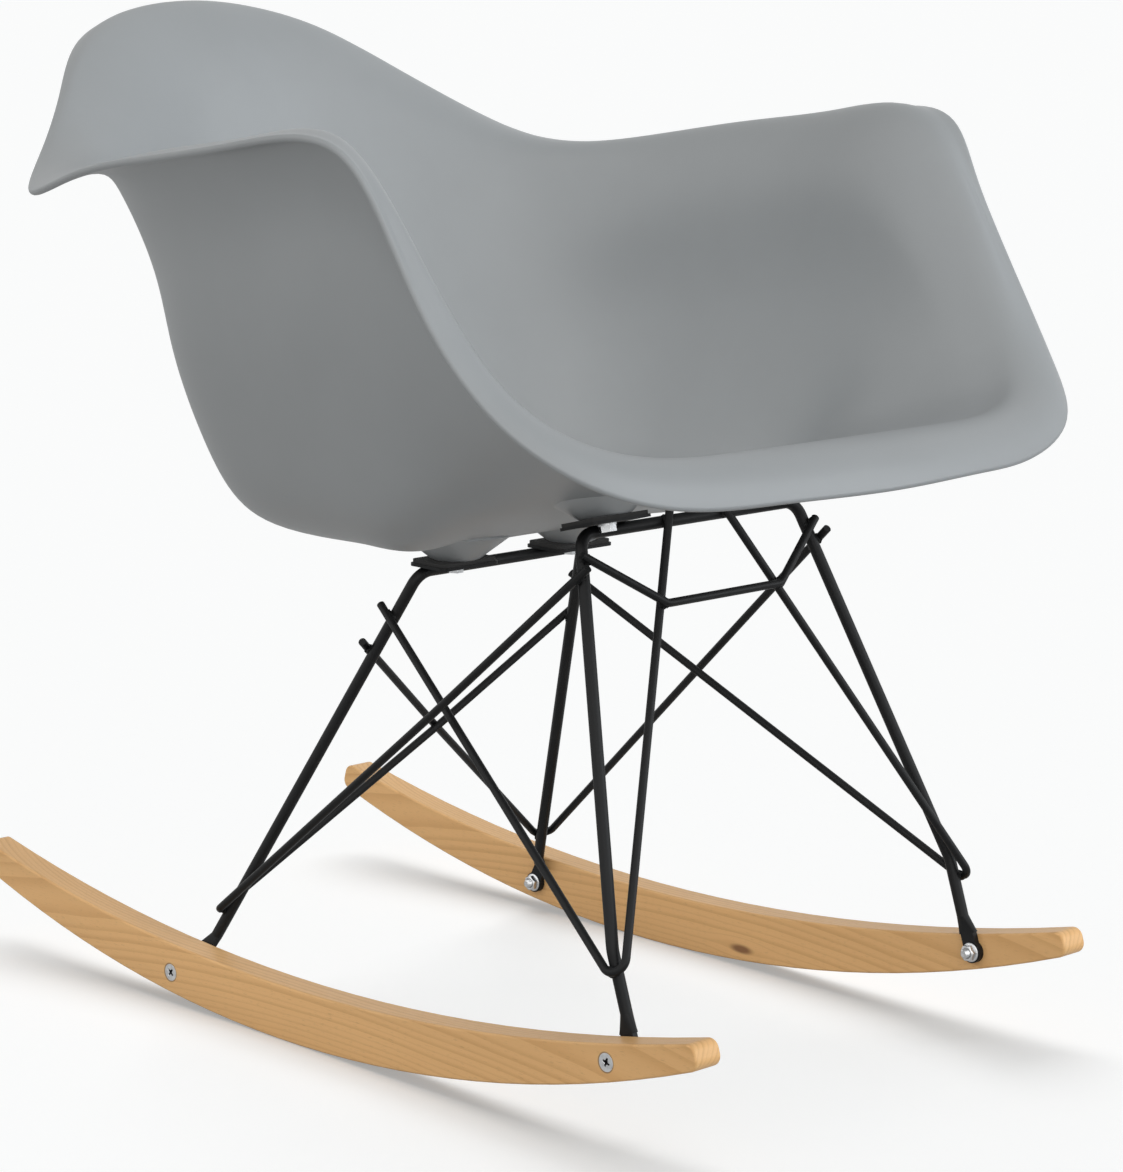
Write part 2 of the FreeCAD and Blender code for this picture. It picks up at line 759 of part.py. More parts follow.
def set_at(item, frame, x=0.0, y=0.0, z=0.0):
    """Place an item at a point of a frame."""
    item.Placement = frame.multiply(FreeCAD.Placement(V(x, y, z), FreeCAD.Rotation()))
    return item


def cylinder(name, radius, height):
    """A cylinder whose radius and height are formulas of the sheet."""
    item = doc.addObject("Part::Cylinder", name)
    bind(item, "Radius", radius)
    bind(item, "Height", height)
    return item


def rounded_plate(name, frame, inset, low, thickness):
    """A plate with round corners over the rail and the bolt, drilled for the bolt."""
    box = doc.addObject("Part::Box", name + "_blank")
    bind(box, "Length", "sizes.plate_length - 2 * %s" % inset)
    bind(box, "Width", "sizes.plate_width - 2 * %s" % inset)
    bind(box, "Height", "sizes." + thickness)
    rear = size("mount_reach") + size("plate_back")
    front = rear - size("plate_width")
    doc.recompute()
    set_at(box, frame, -float(box.Length) / 2, (front + rear - float(box.Width)) / 2, low)
    doc.recompute()
    up = frame.Rotation.multVec(V(0, 0, 1))
    corners = []
    for i, edge in enumerate(box.Shape.Edges, start=1):
        along = edge.tangentAt(edge.FirstParameter)
        if abs(along.dot(up)) > 0.99:
            corners.append((i, size("plate_corner"), size("plate_corner")))
    soft = doc.addObject("Part::Fillet", name + "_soft")
    soft.Base = box
    soft.Edges = corners
    bolt_hole = "(sizes.bolt_diameter + sizes.hole_clearance) / 2"
    hole = cylinder(name + "_hole", bolt_hole, "3 * sizes." + thickness)
    set_at(hole, frame, 0, 0, low - size(thickness))
    return boolean("Cut", name, soft, hole)


def hexagon(name, flats, height):
    """A hexagonal prism by its width over flats."""
    item = doc.addObject("Part::Prism", name)
    item.Polygon = 6
    bind(item, "Circumradius", "sizes.%s / 2 / cos(30)" % flats)
    bind(item, "Height", height)
    return item


bosses = []
bores = []
inserts = []
seat_bolts = []
tapped = "sizes.bolt_diameter / 2 + sizes.thread_clearance"
for end in ("front", "rear"):
    rail_y = size(end + "_rail_y")
    rail_z = size(end + "_rail_z")
    for word, side in SIDES:
        tag = "_%s_%s" % (end, word)
        mount_x = side * size(end + "_mount_x")
        frame = mount_frame(mount_x, rail_y, rail_z, size(end + "_mount_tilt"))
        plate = rounded_plate("mount_plate" + tag, frame, "0", 0, "plate_thickness")
        NODES["mount_plate" + tag] = plate
        low = size("plate_thickness")
        pad = rounded_plate("seat_pad" + tag, frame, "sizes.pad_inset", low, "pad_thickness")
        NODES["seat_pad" + tag] = pad
        low += size("pad_thickness")
        cone = doc.addObject("Part::Cone", "boss" + tag)
        bind(cone, "Radius1", "sizes.boss_foot_radius")
        bind(cone, "Radius2", "sizes.boss_top_radius")
        bind(cone, "Height", "sizes.boss_reach")
        bosses.append(set_at(cone, frame, 0, 0, low))
        bore = cylinder("boss_bore" + tag, "sizes.insert_radius", "2 * sizes.insert_depth")
        bores.append(set_at(bore, frame, 0, 0, low - size("insert_depth")))
        sleeve = cylinder("insert_body" + tag, "sizes.insert_radius", "sizes.insert_depth")
        set_at(sleeve, frame, 0, 0, low)
        thread = cylinder("insert_thread" + tag, tapped, "3 * sizes.insert_depth")
        set_at(thread, frame, 0, 0, low - size("insert_depth"))
        inserts.append(boolean("Cut", "insert" + tag, sleeve, thread))
        shank_name = "seat_bolt_shank" + tag
        shank = cylinder(shank_name, "sizes.bolt_diameter / 2", "sizes.seat_bolt_length")
        set_at(shank, frame, 0, 0, -size("flange_thickness") / 2)
        flange = cylinder("seat_bolt_flange" + tag, "sizes.nut_flange / 2", "sizes.flange_thickness")
        set_at(flange, frame, 0, 0, -size("flange_thickness"))
        head = hexagon("seat_bolt_head" + tag, "nut_flats", "sizes.bolt_head_height")
        set_at(head, frame, 0, 0, -size("bolt_head_height") - size("flange_thickness"))
        seat_bolts.append(fused("seat_bolt" + tag, [shank, flange, head]))

boss_group = fused("bosses", bosses)
boss_cut = boolean("Cut", "bosses_trimmed", boss_group, above_seat)
shell_blank = fused("seat_shell_blank", [seat_skin, boss_cut])
NODES["seat_shell"] = boolean("Cut", "seat_shell", shell_blank, fused("seat_shell_bores", bores))


def group(name, items):
    """Separate solids kept together as one node."""
    item = doc.addObject("Part::Compound", name)
    item.Links = items
    NODES[name] = item


group("seat_inserts", inserts)
group("seat_bolts", seat_bolts)

# Rocker fasteners: a countersunk screw from outside, a flanged nut inside

screws = []
nuts = []
countersink = "(sizes.screw_head - sizes.bolt_diameter) / 2"
reach = "sizes.rocker_thickness + sizes.foot_thickness + sizes.nut_height + sizes.bolt_tip"
for end in ("front", "rear"):
    for word, side in SIDES:
        tag = "_%s_%s" % (end, word)
        y = size(end + "_bolt_y")
        z = size(end + "_bolt_z")
        inward = FreeCAD.Rotation(V(0, 0, 1), V(-side, 0, 0))
        face = FreeCAD.Placement(V(side * outer_x, y, z), inward)
        head = doc.addObject("Part::Cone", "screw_head" + tag)
        bind(head, "Radius1", "sizes.screw_head / 2")
        bind(head, "Radius2", "sizes.bolt_diameter / 2")
        bind(head, "Height", countersink)
        set_at(head, face, 0, 0, size("hole_clearance") / 3)
        shank = cylinder("screw_shank" + tag, "sizes.bolt_diameter / 2", reach + " - 1")
        set_at(shank, face, 0, 0, 1)
        solid = fused("screw_solid" + tag, [head, shank])
        slots = []
        long = size("screw_slot_length")
        wide = size("screw_slot_width")
        for k, (one, two) in enumerate(((long, wide), (wide, long))):
            slot = doc.addObject("Part::Box", "screw_slot_%d%s" % (k, tag))
            slot.Length = one
            slot.Width = two
            bind(slot, "Height", "2 * sizes.screw_slot_depth")
            slots.append(set_at(slot, face, -one / 2, -two / 2, -size("screw_slot_depth")))
        screws.append(boolean("Cut", "screw" + tag, solid, fused("screw_slots" + tag, slots)))
        seat = FreeCAD.Placement(V(side * (inner_x - size("foot_thickness")), y, z), inward)
        flange = cylinder("nut_flange" + tag, "sizes.nut_flange / 2", "sizes.flange_thickness")
        set_at(flange, seat, 0, 0, 0)
        body = hexagon("nut_body" + tag, "nut_flats", "sizes.nut_height")
        set_at(body, seat, 0, 0, 0)
        bore = cylinder("nut_bore" + tag, tapped, "3 * sizes.nut_height")
        set_at(bore, seat, 0, 0, -size("nut_height"))
        nuts.append(boolean("Cut", "nut" + tag, fused("nut_solid" + tag, [flange, body]), bore))
group("rocker_screws", screws)
group("rocker_nuts", nuts)

doc.recompute()

# Checks and export

for item in doc.Objects:
    state = " ".join(item.State)
    if "Invalid" in state or "Error" in state:
        raise RuntimeError(item.Label + " failed: " + state)
os.makedirs("parts", exist_ok=True)
for name, item in NODES.items():
    if item.Shape.isNull() or not item.Shape.isValid():
        raise RuntimeError(name + " has no valid shape")
    item.Label = name
    item.Shape.exportStep("parts/%s.step" % name)
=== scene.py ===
"""Shell, finishes, small parts and studio of a moulded shell rocking chair, built round its
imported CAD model. Metres, +Z up. The sitter faces -Y and +X is the sitter's left."""
import json
import math

import bpy
import numpy as np
from mathutils import Matrix


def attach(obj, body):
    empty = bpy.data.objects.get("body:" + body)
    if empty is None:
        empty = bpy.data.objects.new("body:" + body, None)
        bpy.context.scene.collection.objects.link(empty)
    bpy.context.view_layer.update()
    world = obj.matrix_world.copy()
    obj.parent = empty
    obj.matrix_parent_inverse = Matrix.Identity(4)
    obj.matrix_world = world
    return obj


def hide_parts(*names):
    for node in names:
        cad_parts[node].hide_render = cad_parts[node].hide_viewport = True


bl_info = {
    "name": "Moulded Shell Rocking Chair",
    "version": (1, 0, 0),
    "blender": (4, 5, 0),
    "location": "3D View > Sidebar > Rocking Chair",
    "description": "Shell, finishes, small parts and studio for a moulded shell rocking chair",
    "category": "Object",
}

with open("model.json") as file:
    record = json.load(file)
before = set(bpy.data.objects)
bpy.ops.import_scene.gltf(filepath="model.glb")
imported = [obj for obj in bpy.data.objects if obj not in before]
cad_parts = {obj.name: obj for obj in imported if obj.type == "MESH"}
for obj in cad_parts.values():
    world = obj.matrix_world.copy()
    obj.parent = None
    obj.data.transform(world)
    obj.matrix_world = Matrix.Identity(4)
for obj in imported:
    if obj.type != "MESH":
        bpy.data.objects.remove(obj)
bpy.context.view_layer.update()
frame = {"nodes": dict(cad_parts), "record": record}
NODES = frame["nodes"]
SLOT_COLOUR = {m["slot"]: tuple(m["base_color"]) for m in frame["record"]["materials"]}
MM = 0.001

# Places on the chair, in millimetres

OUTER_FACE_X = 189.3
INNER_FACE_X = 167.3
BOLT_SPOTS = ((-282.5, 56.5), (136.1, 21.2))
# Welds: the point on the rod's middle line, the point on the wire's middle line above it,
# and the way the wire runs there.
WELDS = (
    ((27.4, -169.3, 357.0), (27.4, -175.51, 359.5), (-0.46, 0.332, 0.824)),
    ((163.3, -265.93, 105.66), (169.94, -266.67, 105.91), (-0.113, -0.993, 0.044)),
    ((87.1, 19.82, 275.0), (93.44, 20.26, 277.11), (0.226, -0.834, -0.503)),
    ((108.92, -179.76, 329.96), (115.29, -179.33, 331.42), (-0.103, -0.738, 0.667)),
    ((151.76, 117.21, 60.7), (154.46, 122.54, 63.94), (0.915, -0.377, -0.142)),
    ((94.95, 31.63, 249.01), (94.83, 37.56, 251.67), (-0.771, 0.249, -0.587)),
    ((106.1, -175.49, 341.0), (106.78, -181.63, 343.55), (0.816, 0.297, 0.496)),
    ((54.95, -195.38, 310.16), (55.3, -200.34, 312.36), (0.882, 0.243, 0.404)),
)

# The shell, station by station from the front lip over the left arm to the top of the back, as
# shares of its half width, its depth from the lip and its height over the lowest point.
SHELL_EDGE = (
    (0, -0.0418, 0.1883), (0.3216, -0.0291, 0.1895), (0.5783, -0.0071, 0.1989),
    (0.7471, 0.0239, 0.2453), (0.8444, 0.0807, 0.3259), (0.8908, 0.1473, 0.4604),
    (0.902, 0.2132, 0.6378), (0.9295, 0.2627, 0.7458), (0.9604, 0.3889, 0.7466),
    (0.9506, 0.5328, 0.7097), (0.918, 0.671, 0.669), (0.843, 0.7905, 0.629),
    (0.695, 0.858, 0.694), (0.5344, 0.928, 0.786), (0.3668, 0.9969, 0.8727),
    (0.1906, 1.0265, 0.9158), (0, 1.0327, 0.9349))
SHELL_CREST = (
    (0, 0.0082, 0.2579), (0.3141, 0.0167, 0.2553), (0.5551, 0.032, 0.2632),
    (0.6936, 0.0598, 0.2966), (0.7777, 0.1018, 0.3598), (0.8302, 0.1523, 0.472),
    (0.8572, 0.2146, 0.6309), (0.866, 0.2812, 0.7466), (0.8714, 0.4002, 0.7513),
    (0.8539, 0.5345, 0.7184), (0.8009, 0.6625, 0.6814), (0.6955, 0.7758, 0.6698),
    (0.5879, 0.8557, 0.7201), (0.4686, 0.9251, 0.8072), (0.3231, 0.9796, 0.8894),
    (0.1699, 1.006, 0.927), (0, 1.0082, 0.9388))
# Shares of the way out and up from the lowest point to the crest, at the front, sides and back,
# and the bearings from the front, in degrees, over which one gives way to the next
FRONT_RISE = ((0.52, 0.44), (0.68, 0.64), (0.8, 0.79), (0.89, 0.9), (0.955, 0.97))
SIDE_RISE = (
    (0.6577, 0.0934), (0.7685, 0.2701), (0.8446, 0.5224), (0.8662, 0.7249), (0.9112, 0.9065))
BACK_RISE = (
    (0.4018, 0.1271), (0.5036, 0.2553), (0.6176, 0.434), (0.7554, 0.6835), (0.9014, 0.9266))
FRONT_TO_SIDE, SIDE_TO_BACK = (30, 62), (104, 165)
LIP_Y, LOWEST = -312.5, (0.0, 20.0, 327.6)
# The dish round the lowest point: its radius, and how z rises with x^2 and with y^2
DISH_RADIUS, DISH_X, DISH_Y = 85.0, 0.0008, 0.0023
# Where the flange rolls over, as shares of the way from the crest to the edge
ROLL = (0.62, 0.62, 0.30)
# Feet of the bosses under the seat: place and the way up; the depth of their bores, and the
# height up to which the wall may lie over a boss
BOSSES = (((88.0, -177.74, 368.0), (0.0, 0.2588, 0.9659)), ((55.0, -5.5, 314.94), (0.0, 0.0, 1.0)))
BORE_DEPTH, SEAT_TOP = 9.5, 460

# Each rocker's side and the middle of its knot, in metres; the right one's lies off the plank
ROCKERS = {"left": (1, (0.1673, -0.072, 0.0125)), "right": (-1, (-0.178, 0.9, 0.0))}

# Lamps: the way each shines, its tint and its size in degrees
KEY = (-0.55, 0.8, -0.25), (0.86, 0.93, 1.0), 60
FRONT_FILL = (0.0, 1.0, -0.15), (1.0, 0.985, 0.98), 120
SIDE_FILL = (1.0, 0.1, -0.2), (1.0, 0.975, 0.955), 120
SHADOW = (-0.4, -0.4, -1.0), (1.0, 1.0, 1.0), 60
# The share of the shadow lamp's power that a level floor gets
SHADOW_SHARE = 0.852


def paint(value, name, description, most=1.0):
    """A colour setting. A slot's name stands for its colour in the record."""
    return bpy.props.FloatVectorProperty(
        name=name, description=description, subtype="COLOR", size=3, min=0.0, max=most,
        default=SLOT_COLOUR.get(value, value))


def number(value, name, description, **more):
    """A number setting."""
    return bpy.props.FloatProperty(name=name, description=description, default=value, **more)


def metres(value, name, description):
    """A length setting in metres."""
    return number(value, name, description, unit="LENGTH")


def share(value, name, description):
    """A share from 0 to 1."""
    return number(value, name, description, min=0.0, max=1.0, subtype="FACTOR")


def angle(degrees, name, description):
    """An angle setting, given in degrees."""
    return number(math.radians(degrees), name, description, unit="ROTATION")


class ChairFinishes(bpy.types.PropertyGroup):
    """Colours and surface sizes of the chair's materials."""

    shell: paint("shell_plastic", "Shell", "Colour of the moulded seat shell")
    shell_roughness: share(0.42, "Shell roughness", "Gloss of the moulded plastic")
    grain_size: metres(0.0007, "Mould grain", "Size of the fine texture from the mould")
    frame: paint("frame_black", "Frame", "Colour of the powder coat on rods and plates")
    coat_size: metres(0.0012, "Coat waves", "Size of the powder coat's orange peel")
    wood: paint("rocker_wood", "Rocker wood", "Pale wood between the year rings")
    lacquer: paint((1.16, 1.0, 0.80), "Lacquer", "Tint of the clear lacquer", 1.5)
    late_wood: paint((0.62, 0.31, 0.10), "Late wood", "Darker wood of each year ring")
    late_share: share(0.42, "Late share", "How strongly the late wood shows")
    fibre_share: share(0.09, "Fibre share", "How strongly the fibres show")
    pore_share: share(0.3, "Pore share", "How strongly the pores show")
    knot_share: share(0.85, "Knot share", "How dark the knot is")
    # painted shade: radius of the dark ring painted on the wood round each screw head
    hole_shade_radius: metres(0.0072, "Hole shade", "Radius of the painted shade round a screw")
    ring_width: metres(0.0034, "Ring width", "Distance between year rings")
    heart_height: metres(0.074, "Heart height", "Height of the tree's heart over the floor")
    heart_aside: metres(0.034, "Heart aside", "Distance from the plank to the heart")
    arch: number(0.24, "Grain arch", "How fast the grain bends down toward the ends")
    brass: paint("insert_brass", "Inserts", "Colour of the threaded inserts")
    rubber: paint("pad_rubber", "Pads", "Colour of the pads under the seat")
    zinc: paint("zinc_steel", "Fasteners", "Colour of screws, nuts and bolts")


class ChairDetails(bpy.types.PropertyGroup):
    """Sizes of the shell and the small parts."""

    shell_width: metres(0.610, "Shell width", "Width that the shell's stations share")
    shell_depth: metres(0.639, "Shell depth", "Depth that the shell's stations share")
    shell_height: metres(0.372, "Shell height", "Height that the shell's stations share")
    wall: metres(0.005, "Wall", "Thickness of the moulded plastic")
    boss_foot: metres(0.033, "Boss foot", "Diameter of the bosses where they meet the pads")
    boss_top: metres(0.080, "Boss top", "Diameter of the bosses where they meet the seat")
    boss_reach: metres(0.018, "Boss reach", "Height over which the bosses widen")
    boss_bore: metres(0.010, "Boss bore", "Diameter of the bore for the insert")

    bead_waist: metres(0.0026, "Weld waist", "Half width of a weld between rod and wire")
    bead_flare: metres(0.0011, "Weld flare", "How far a weld spreads on the metal")
    screw_head: metres(0.012, "Screw head", "Diameter of the countersunk heads")
    screw_body: metres(0.006, "Screw body", "Diameter of the screws")
    screw_length: metres(0.0342, "Screw length", "From the head's face to the tip")
    recess: metres(0.0064, "Cross recess", "Length of the cross in the screw heads")
    thread_pitch: metres(0.001, "Thread pitch", "Distance from one thread to the next")
    nut_flats: metres(0.010, "Nut flats", "Width of the nuts across flats")
    nut_height: metres(0.005, "Nut height", "Height of the nuts")
    nut_flange: metres(0.013, "Nut flange", "Diameter of the flange under the nuts")
    foot: metres(0.0042, "Foot thickness", "Thickness of the flattened rod ends")


class StudioSettings(bpy.types.PropertyGroup):
    """Camera, lamps and backdrop."""

    camera_place: bpy.props.FloatVectorProperty(
        name="Camera", description="Place of the camera", size=3, subtype="XYZ",
        default=(-1.6973, -1.7373, 0.7366))
    azimuth: angle(-44.126, "Azimuth", "Turn of the camera round the chair")
    elevation: angle(10.63, "Elevation", "Downward view of the camera")
    roll: angle(0.485, "Roll", "Tilt of the camera")
    lens: number(110.58, "Lens", "Focal length in millimetres")
    shift: bpy.props.FloatVectorProperty(
        name="Shift", description="Shift of the frame", size=2, default=(0.0568, 0.0090))
    key_power: number(1.15, "Key lamp", "Strength of the lamp from the sitter's front left")
    front_power: number(1.68, "Front fill", "Strength of the soft light from the front")
    side_power: number(1.65, "Side fill", "Strength of the soft light from the near side")
    shadow_power: number(2.6, "Shadow lamp", "Strength of the floor's own lamp overhead")
    ambient: number(0.152, "Ambient", "Strength of the light from all round")
    backdrop: number(0.955, "Backdrop", "Brightness of the backdrop as the camera sees it")
    floor: number(0.35, "Floor", "Paleness of the floor as it lights the chair")
    floor_seen: number(0.72, "Floor seen", "Paleness of the floor as the camera sees it")


# Building node trees


class Tree:
    """Short calls that add nodes to one tree and hand back their sockets."""

    def __init__(self, tree):
        self.tree = tree
        self.place = self.shader = None

    def node(self, kind, inputs=None, **settings):
        """Add a node, set its options, then fill its sockets with values or links."""
        item = self.tree.nodes.new(kind)
        for name, value in settings.items():
            setattr(item, name, value)
        for name, value in (inputs or {}).items():
            self.fill(item.inputs[name], value)
        return item

    def fill(self, socket, value):
        """Link another socket, or set a plain value."""
        if isinstance(value, bpy.types.NodeSocket):
            self.tree.links.new(value, socket)
        else:
            socket.default_value = value

    def math(self, operation, one, two=0.0, clamp=False):
        """The result of one Math node."""
        return self.node("ShaderNodeMath", {0: one, 1: two}, operation=operation,
                         use_clamp=clamp).outputs[0]

    def times(self, one, two):
        """A product."""
        return self.math("MULTIPLY", one, two)

    def plus(self, one, two):
        """A sum."""
        return self.math("ADD", one, two)

    def line(self, base, slope, value):
        """A base value plus a slope times another."""
        return self.plus(base, self.times(value, slope))

    def step(self, value, low, high, start=0.0, end=1.0):
        """A smooth step of value from low to high."""
        return self.node("ShaderNodeMapRange", {
            "Value": value, "From Min": low, "From Max": high, "To Min": start, "To Max": end},
            interpolation_type="SMOOTHSTEP").outputs["Result"]

    def vector(self, operation, one, two=(0.0, 0.0, 0.0)):
        """The result of one Vector Math node."""
        item = self.node("ShaderNodeVectorMath", {0: one, 1: two}, operation=operation)
        return item.outputs["Value" if operation in ("DOT_PRODUCT", "LENGTH") else "Vector"]

    def noise(self, vector, scale, detail=2.0, roughness=0.5):
        """The value of a noise at a scale, from about 0.25 to 0.75."""
        return self.node("ShaderNodeTexNoise", {
            "Vector": vector, "Scale": scale, "Detail": detail,
            "Roughness": roughness}).outputs["Fac"]

    def mix(self, factor, one, two, blend="MIX"):
        """A blend of two colours."""
        item = self.node("ShaderNodeMix", data_type="RGBA", blend_type=blend)
        self.fill(item.inputs[0], factor)
        self.fill(item.inputs[6], one)
        self.fill(item.inputs[7], two)
        return item.outputs[2]

    def true_normal(self):
        """The normal of the surface."""
        return self.node("ShaderNodeNewGeometry").outputs["Normal"]

    def parts(self, vector):
        """The X, Y and Z of a vector."""
        return self.node("ShaderNodeSeparateXYZ", {0: vector}).outputs

    def group(self, name, **inputs):
        """Add a shared effect at this place on the chair, with its own values."""
        item = self.node("ShaderNodeGroup", node_tree=bpy.data.node_groups[name])
        for label, value in {"Place": self.place, **inputs}.items():
            self.fill(item.inputs[label.replace("_", " ")], value)
        return item.outputs


def new_group(name, inputs, outputs):
    """An empty shader node group with named sockets, as a Tree with its two end nodes."""
    group = bpy.data.node_groups.new(name, "ShaderNodeTree")
    kinds = {"F": "NodeSocketFloat", "V": "NodeSocketVector"}
    for way, sockets in (("INPUT", inputs), ("OUTPUT", outputs)):
        for label, kind in sockets.items():
            group.interface.new_socket(label, in_out=way, socket_type=kinds[kind])
    tree = Tree(group)
    return tree, tree.node("NodeGroupInput").outputs, tree.node("NodeGroupOutput").inputs


def build_fine_grain():
    """Fine bumps of one size over broad, faint patches."""
    tree, given, out = new_group(
        "fine grain", {"Place": "V", "Size": "F"}, {"Height": "F", "Patches": "F"})
    scale = tree.math("DIVIDE", 1.0, given["Size"])
    fine = tree.noise(given["Place"], scale, 2.0, 0.55)
    coarse = tree.noise(given["Place"], tree.times(scale, 0.21), 1.0)
    tree.fill(out["Height"], tree.plus(fine, tree.times(coarse, 0.6)))
    tree.fill(out["Patches"], tree.step(tree.noise(given["Place"], 9.0, 4.0, 0.6), 0.32, 0.68))


def build_settled_dust():
    """A faint film on faces that look up, broken up by noise."""
    tree, given, out = new_group("settled dust", {"Place": "V", "Amount": "F"}, {"Mask": "F"})
    level = tree.step(tree.parts(tree.true_normal())["Z"], 0.35, 1.0)
    specks = tree.step(tree.noise(given["Place"], 260.0, 6.0, 0.75), 0.45, 0.8)
    film = tree.step(tree.noise(given["Place"], 14.0, 3.0), 0.3, 0.75)
    both = tree.plus(tree.times(specks, 0.6), tree.times(film, 0.4))
    tree.fill(out["Mask"], tree.times(tree.times(both, level), given["Amount"]))


def build_edge_rub():
    """A mask along edges, found where a softened normal leaves the true one."""
    tree, given, out = new_group(
        "edge rub", {"Place": "V", "Width": "F", "Amount": "F"}, {"Mask": "F"})
    soft = tree.node("ShaderNodeBevel", {"Radius": given["Width"]}, samples=4).outputs[0]
    edge = tree.step(tree.vector("DOT_PRODUCT", soft, tree.true_normal()), 0.985, 0.86)
    broken = tree.step(tree.noise(given["Place"], 120.0, 4.0, 0.7), 0.38, 0.62, 0.35, 1.0)
    tree.fill(out["Mask"], tree.math(
        "MULTIPLY", tree.times(edge, broken), given["Amount"], clamp=True))


def build_year_rings():
    """Year rings round a heart beside the plank, arched along Y, with fibres and pores.

    Rings: the fraction of the distance to the heart over the ring width, darkened slowly and
    ended sharply. Fibres and pores: noise drawn out along the plank.
    """
    tree, given, out = new_group(
        "year rings",
        {"Place": "V", "Heart aside": "F", "Heart height": "F", "Ring width": "F", "Arch": "F",
         "Knot place": "V", "Knot size": "F"},
        {"Late": "F", "Fibres": "F", "Pores": "F", "Knot": "F"})
    place, crown, waver_size, jitter_size = given["Place"], 0.047, 0.011, 0.35
    # grain bends round the knot
    from_knot = tree.vector("MULTIPLY", tree.vector("SUBTRACT", place, given["Knot place"]),
                            (0.35, 0.3, 1.0))
    distance = tree.math("DIVIDE", tree.vector("LENGTH", from_knot), given["Knot size"])
    near = tree.step(distance, 3.2, 0.4)
    push = tree.times(near, tree.times(tree.parts(from_knot)["Z"], -0.75))
    at = tree.parts(place)
    run = tree.plus(at["Y"], crown)
    bend = tree.times(tree.times(run, run), given["Arch"])
    slow = tree.noise(tree.vector("MULTIPLY", place, (9.0, 3.2, 22.0)), 1.0)
    waver = tree.times(tree.math("SUBTRACT", slow, 0.5), waver_size)
    z = tree.plus(tree.plus(at["Z"], bend), tree.plus(waver, push))
    dx = tree.math("SUBTRACT", at["X"], given["Heart aside"])
    dz = tree.math("SUBTRACT", z, given["Heart height"])
    ring = tree.math("SQRT", tree.plus(tree.times(dx, dx), tree.times(dz, dz)))
    count = tree.math("DIVIDE", ring, given["Ring width"])
    jitter = tree.noise(tree.vector("MULTIPLY", place, (60.0, 12.0, 60.0)), 1.0, 1.0)
    count = tree.line(count, jitter_size, jitter)
    part = tree.math("FRACT", count)
    year = tree.node("ShaderNodeTexWhiteNoise", {"W": tree.math("FLOOR", count)},
                     noise_dimensions="1D").outputs["Value"]
    rise = tree.step(part, tree.math("SUBTRACT", 0.62, tree.times(year, 0.4)), 0.9)
    fall = tree.step(part, 1.0, 0.93)
    depth = tree.plus(0.45, tree.times(year, 0.55))
    tree.fill(out["Late"], tree.times(tree.times(rise, fall), depth))
    drawn = tree.vector("MULTIPLY", place, (1500.0, 22.0, 1500.0))
    tree.fill(out["Fibres"], tree.step(tree.noise(drawn, 1.0, 3.0, 0.6), 0.25, 0.75))
    pits = tree.vector("MULTIPLY", place, (2600.0, 150.0, 2600.0))
    tree.fill(out["Pores"], tree.step(tree.noise(pits, 1.0, 1.0), 0.63, 0.74))
    tree.fill(out["Knot"], tree.step(distance, 1.0, 0.35))


def build_metal_mottle():
    """Uneven cloudy patches and fine scratches of a plated metal."""
    tree, given, out = new_group(
        "metal mottle", {"Place": "V", "Size": "F"}, {"Cloud": "F", "Scratches": "F"})
    scale = tree.math("DIVIDE", 1.0, given["Size"])
    tree.fill(out["Cloud"], tree.step(tree.noise(given["Place"], scale, 3.0, 0.6), 0.3, 0.7))
    fine = tree.vector("MULTIPLY", given["Place"], (900.0, 4200.0, 4200.0))
    tree.fill(out["Scratches"], tree.noise(fine, 1.0, 2.0, 0.6))


def build_bolt_distance():
    """Distance from the nearer rocker bolt's axis, which runs along X."""
    tree, given, out = new_group("bolt distance", {"Place": "V"}, {"Distance": "F"})
    flat = tree.vector("MULTIPLY", given["Place"], (0.0, 1.0, 1.0))
    near, far = (tree.vector("LENGTH", tree.vector("SUBTRACT", flat, (0.0, y * MM, z * MM)))
                 for y, z in BOLT_SPOTS)
    tree.fill(out["Distance"], tree.math("MINIMUM", near, far))


def new_material(name, **plain):
    """A material with a Principled shader whose even values are set on its own sockets.

    Its tree's place is the point on the chair, in metres, and its tree's shader those sockets.
    """
    material = bpy.data.materials.new(name)
    material.use_nodes = True
    tree = Tree(material.node_tree)
    tree.place = tree.node("ShaderNodeTexCoord").outputs["Object"]
    tree.shader = material.node_tree.nodes["Principled BSDF"].inputs
    for label, value in plain.items():
        tree.shader[label.replace("_", " ")].default_value = value
    return material, tree


def shade(colour, factor):
    """A colour made lighter or darker, with full alpha."""
    return tuple(min(c * factor, 1.0) for c in colour) + (1.0,)


def finish(tree, colour, roughness, height, depth):
    """Link a material's colour, its roughness and a relief that tilts its normal."""
    relief = tree.node("ShaderNodeBump", {"Strength": 1.0, "Distance": depth, "Height": height})
    for label, value in (("Base Color", colour), ("Roughness", roughness),
                         ("Normal", relief.outputs["Normal"])):
        tree.fill(tree.shader[label], value)


def give(material, *names):
    """Put a material on CAD nodes."""
    for name in names:
        for slot in NODES[name].material_slots:
            slot.material = material


# Making pieces from grids of points


def grid_faces(rows, columns, wrap_rows=False):
    """Quads between neighbours of a grid that closes on itself across its columns."""
    i = np.arange(rows if wrap_rows else rows - 1)[:, None]
    j = np.arange(columns)[None, :]
    down, right = (i + 1) % rows, (j + 1) % columns
    quads = np.stack(np.broadcast_arrays(
        i * columns + j, i * columns + right, down * columns + right, down * columns + j), -1)
    return quads.reshape(-1, 4)


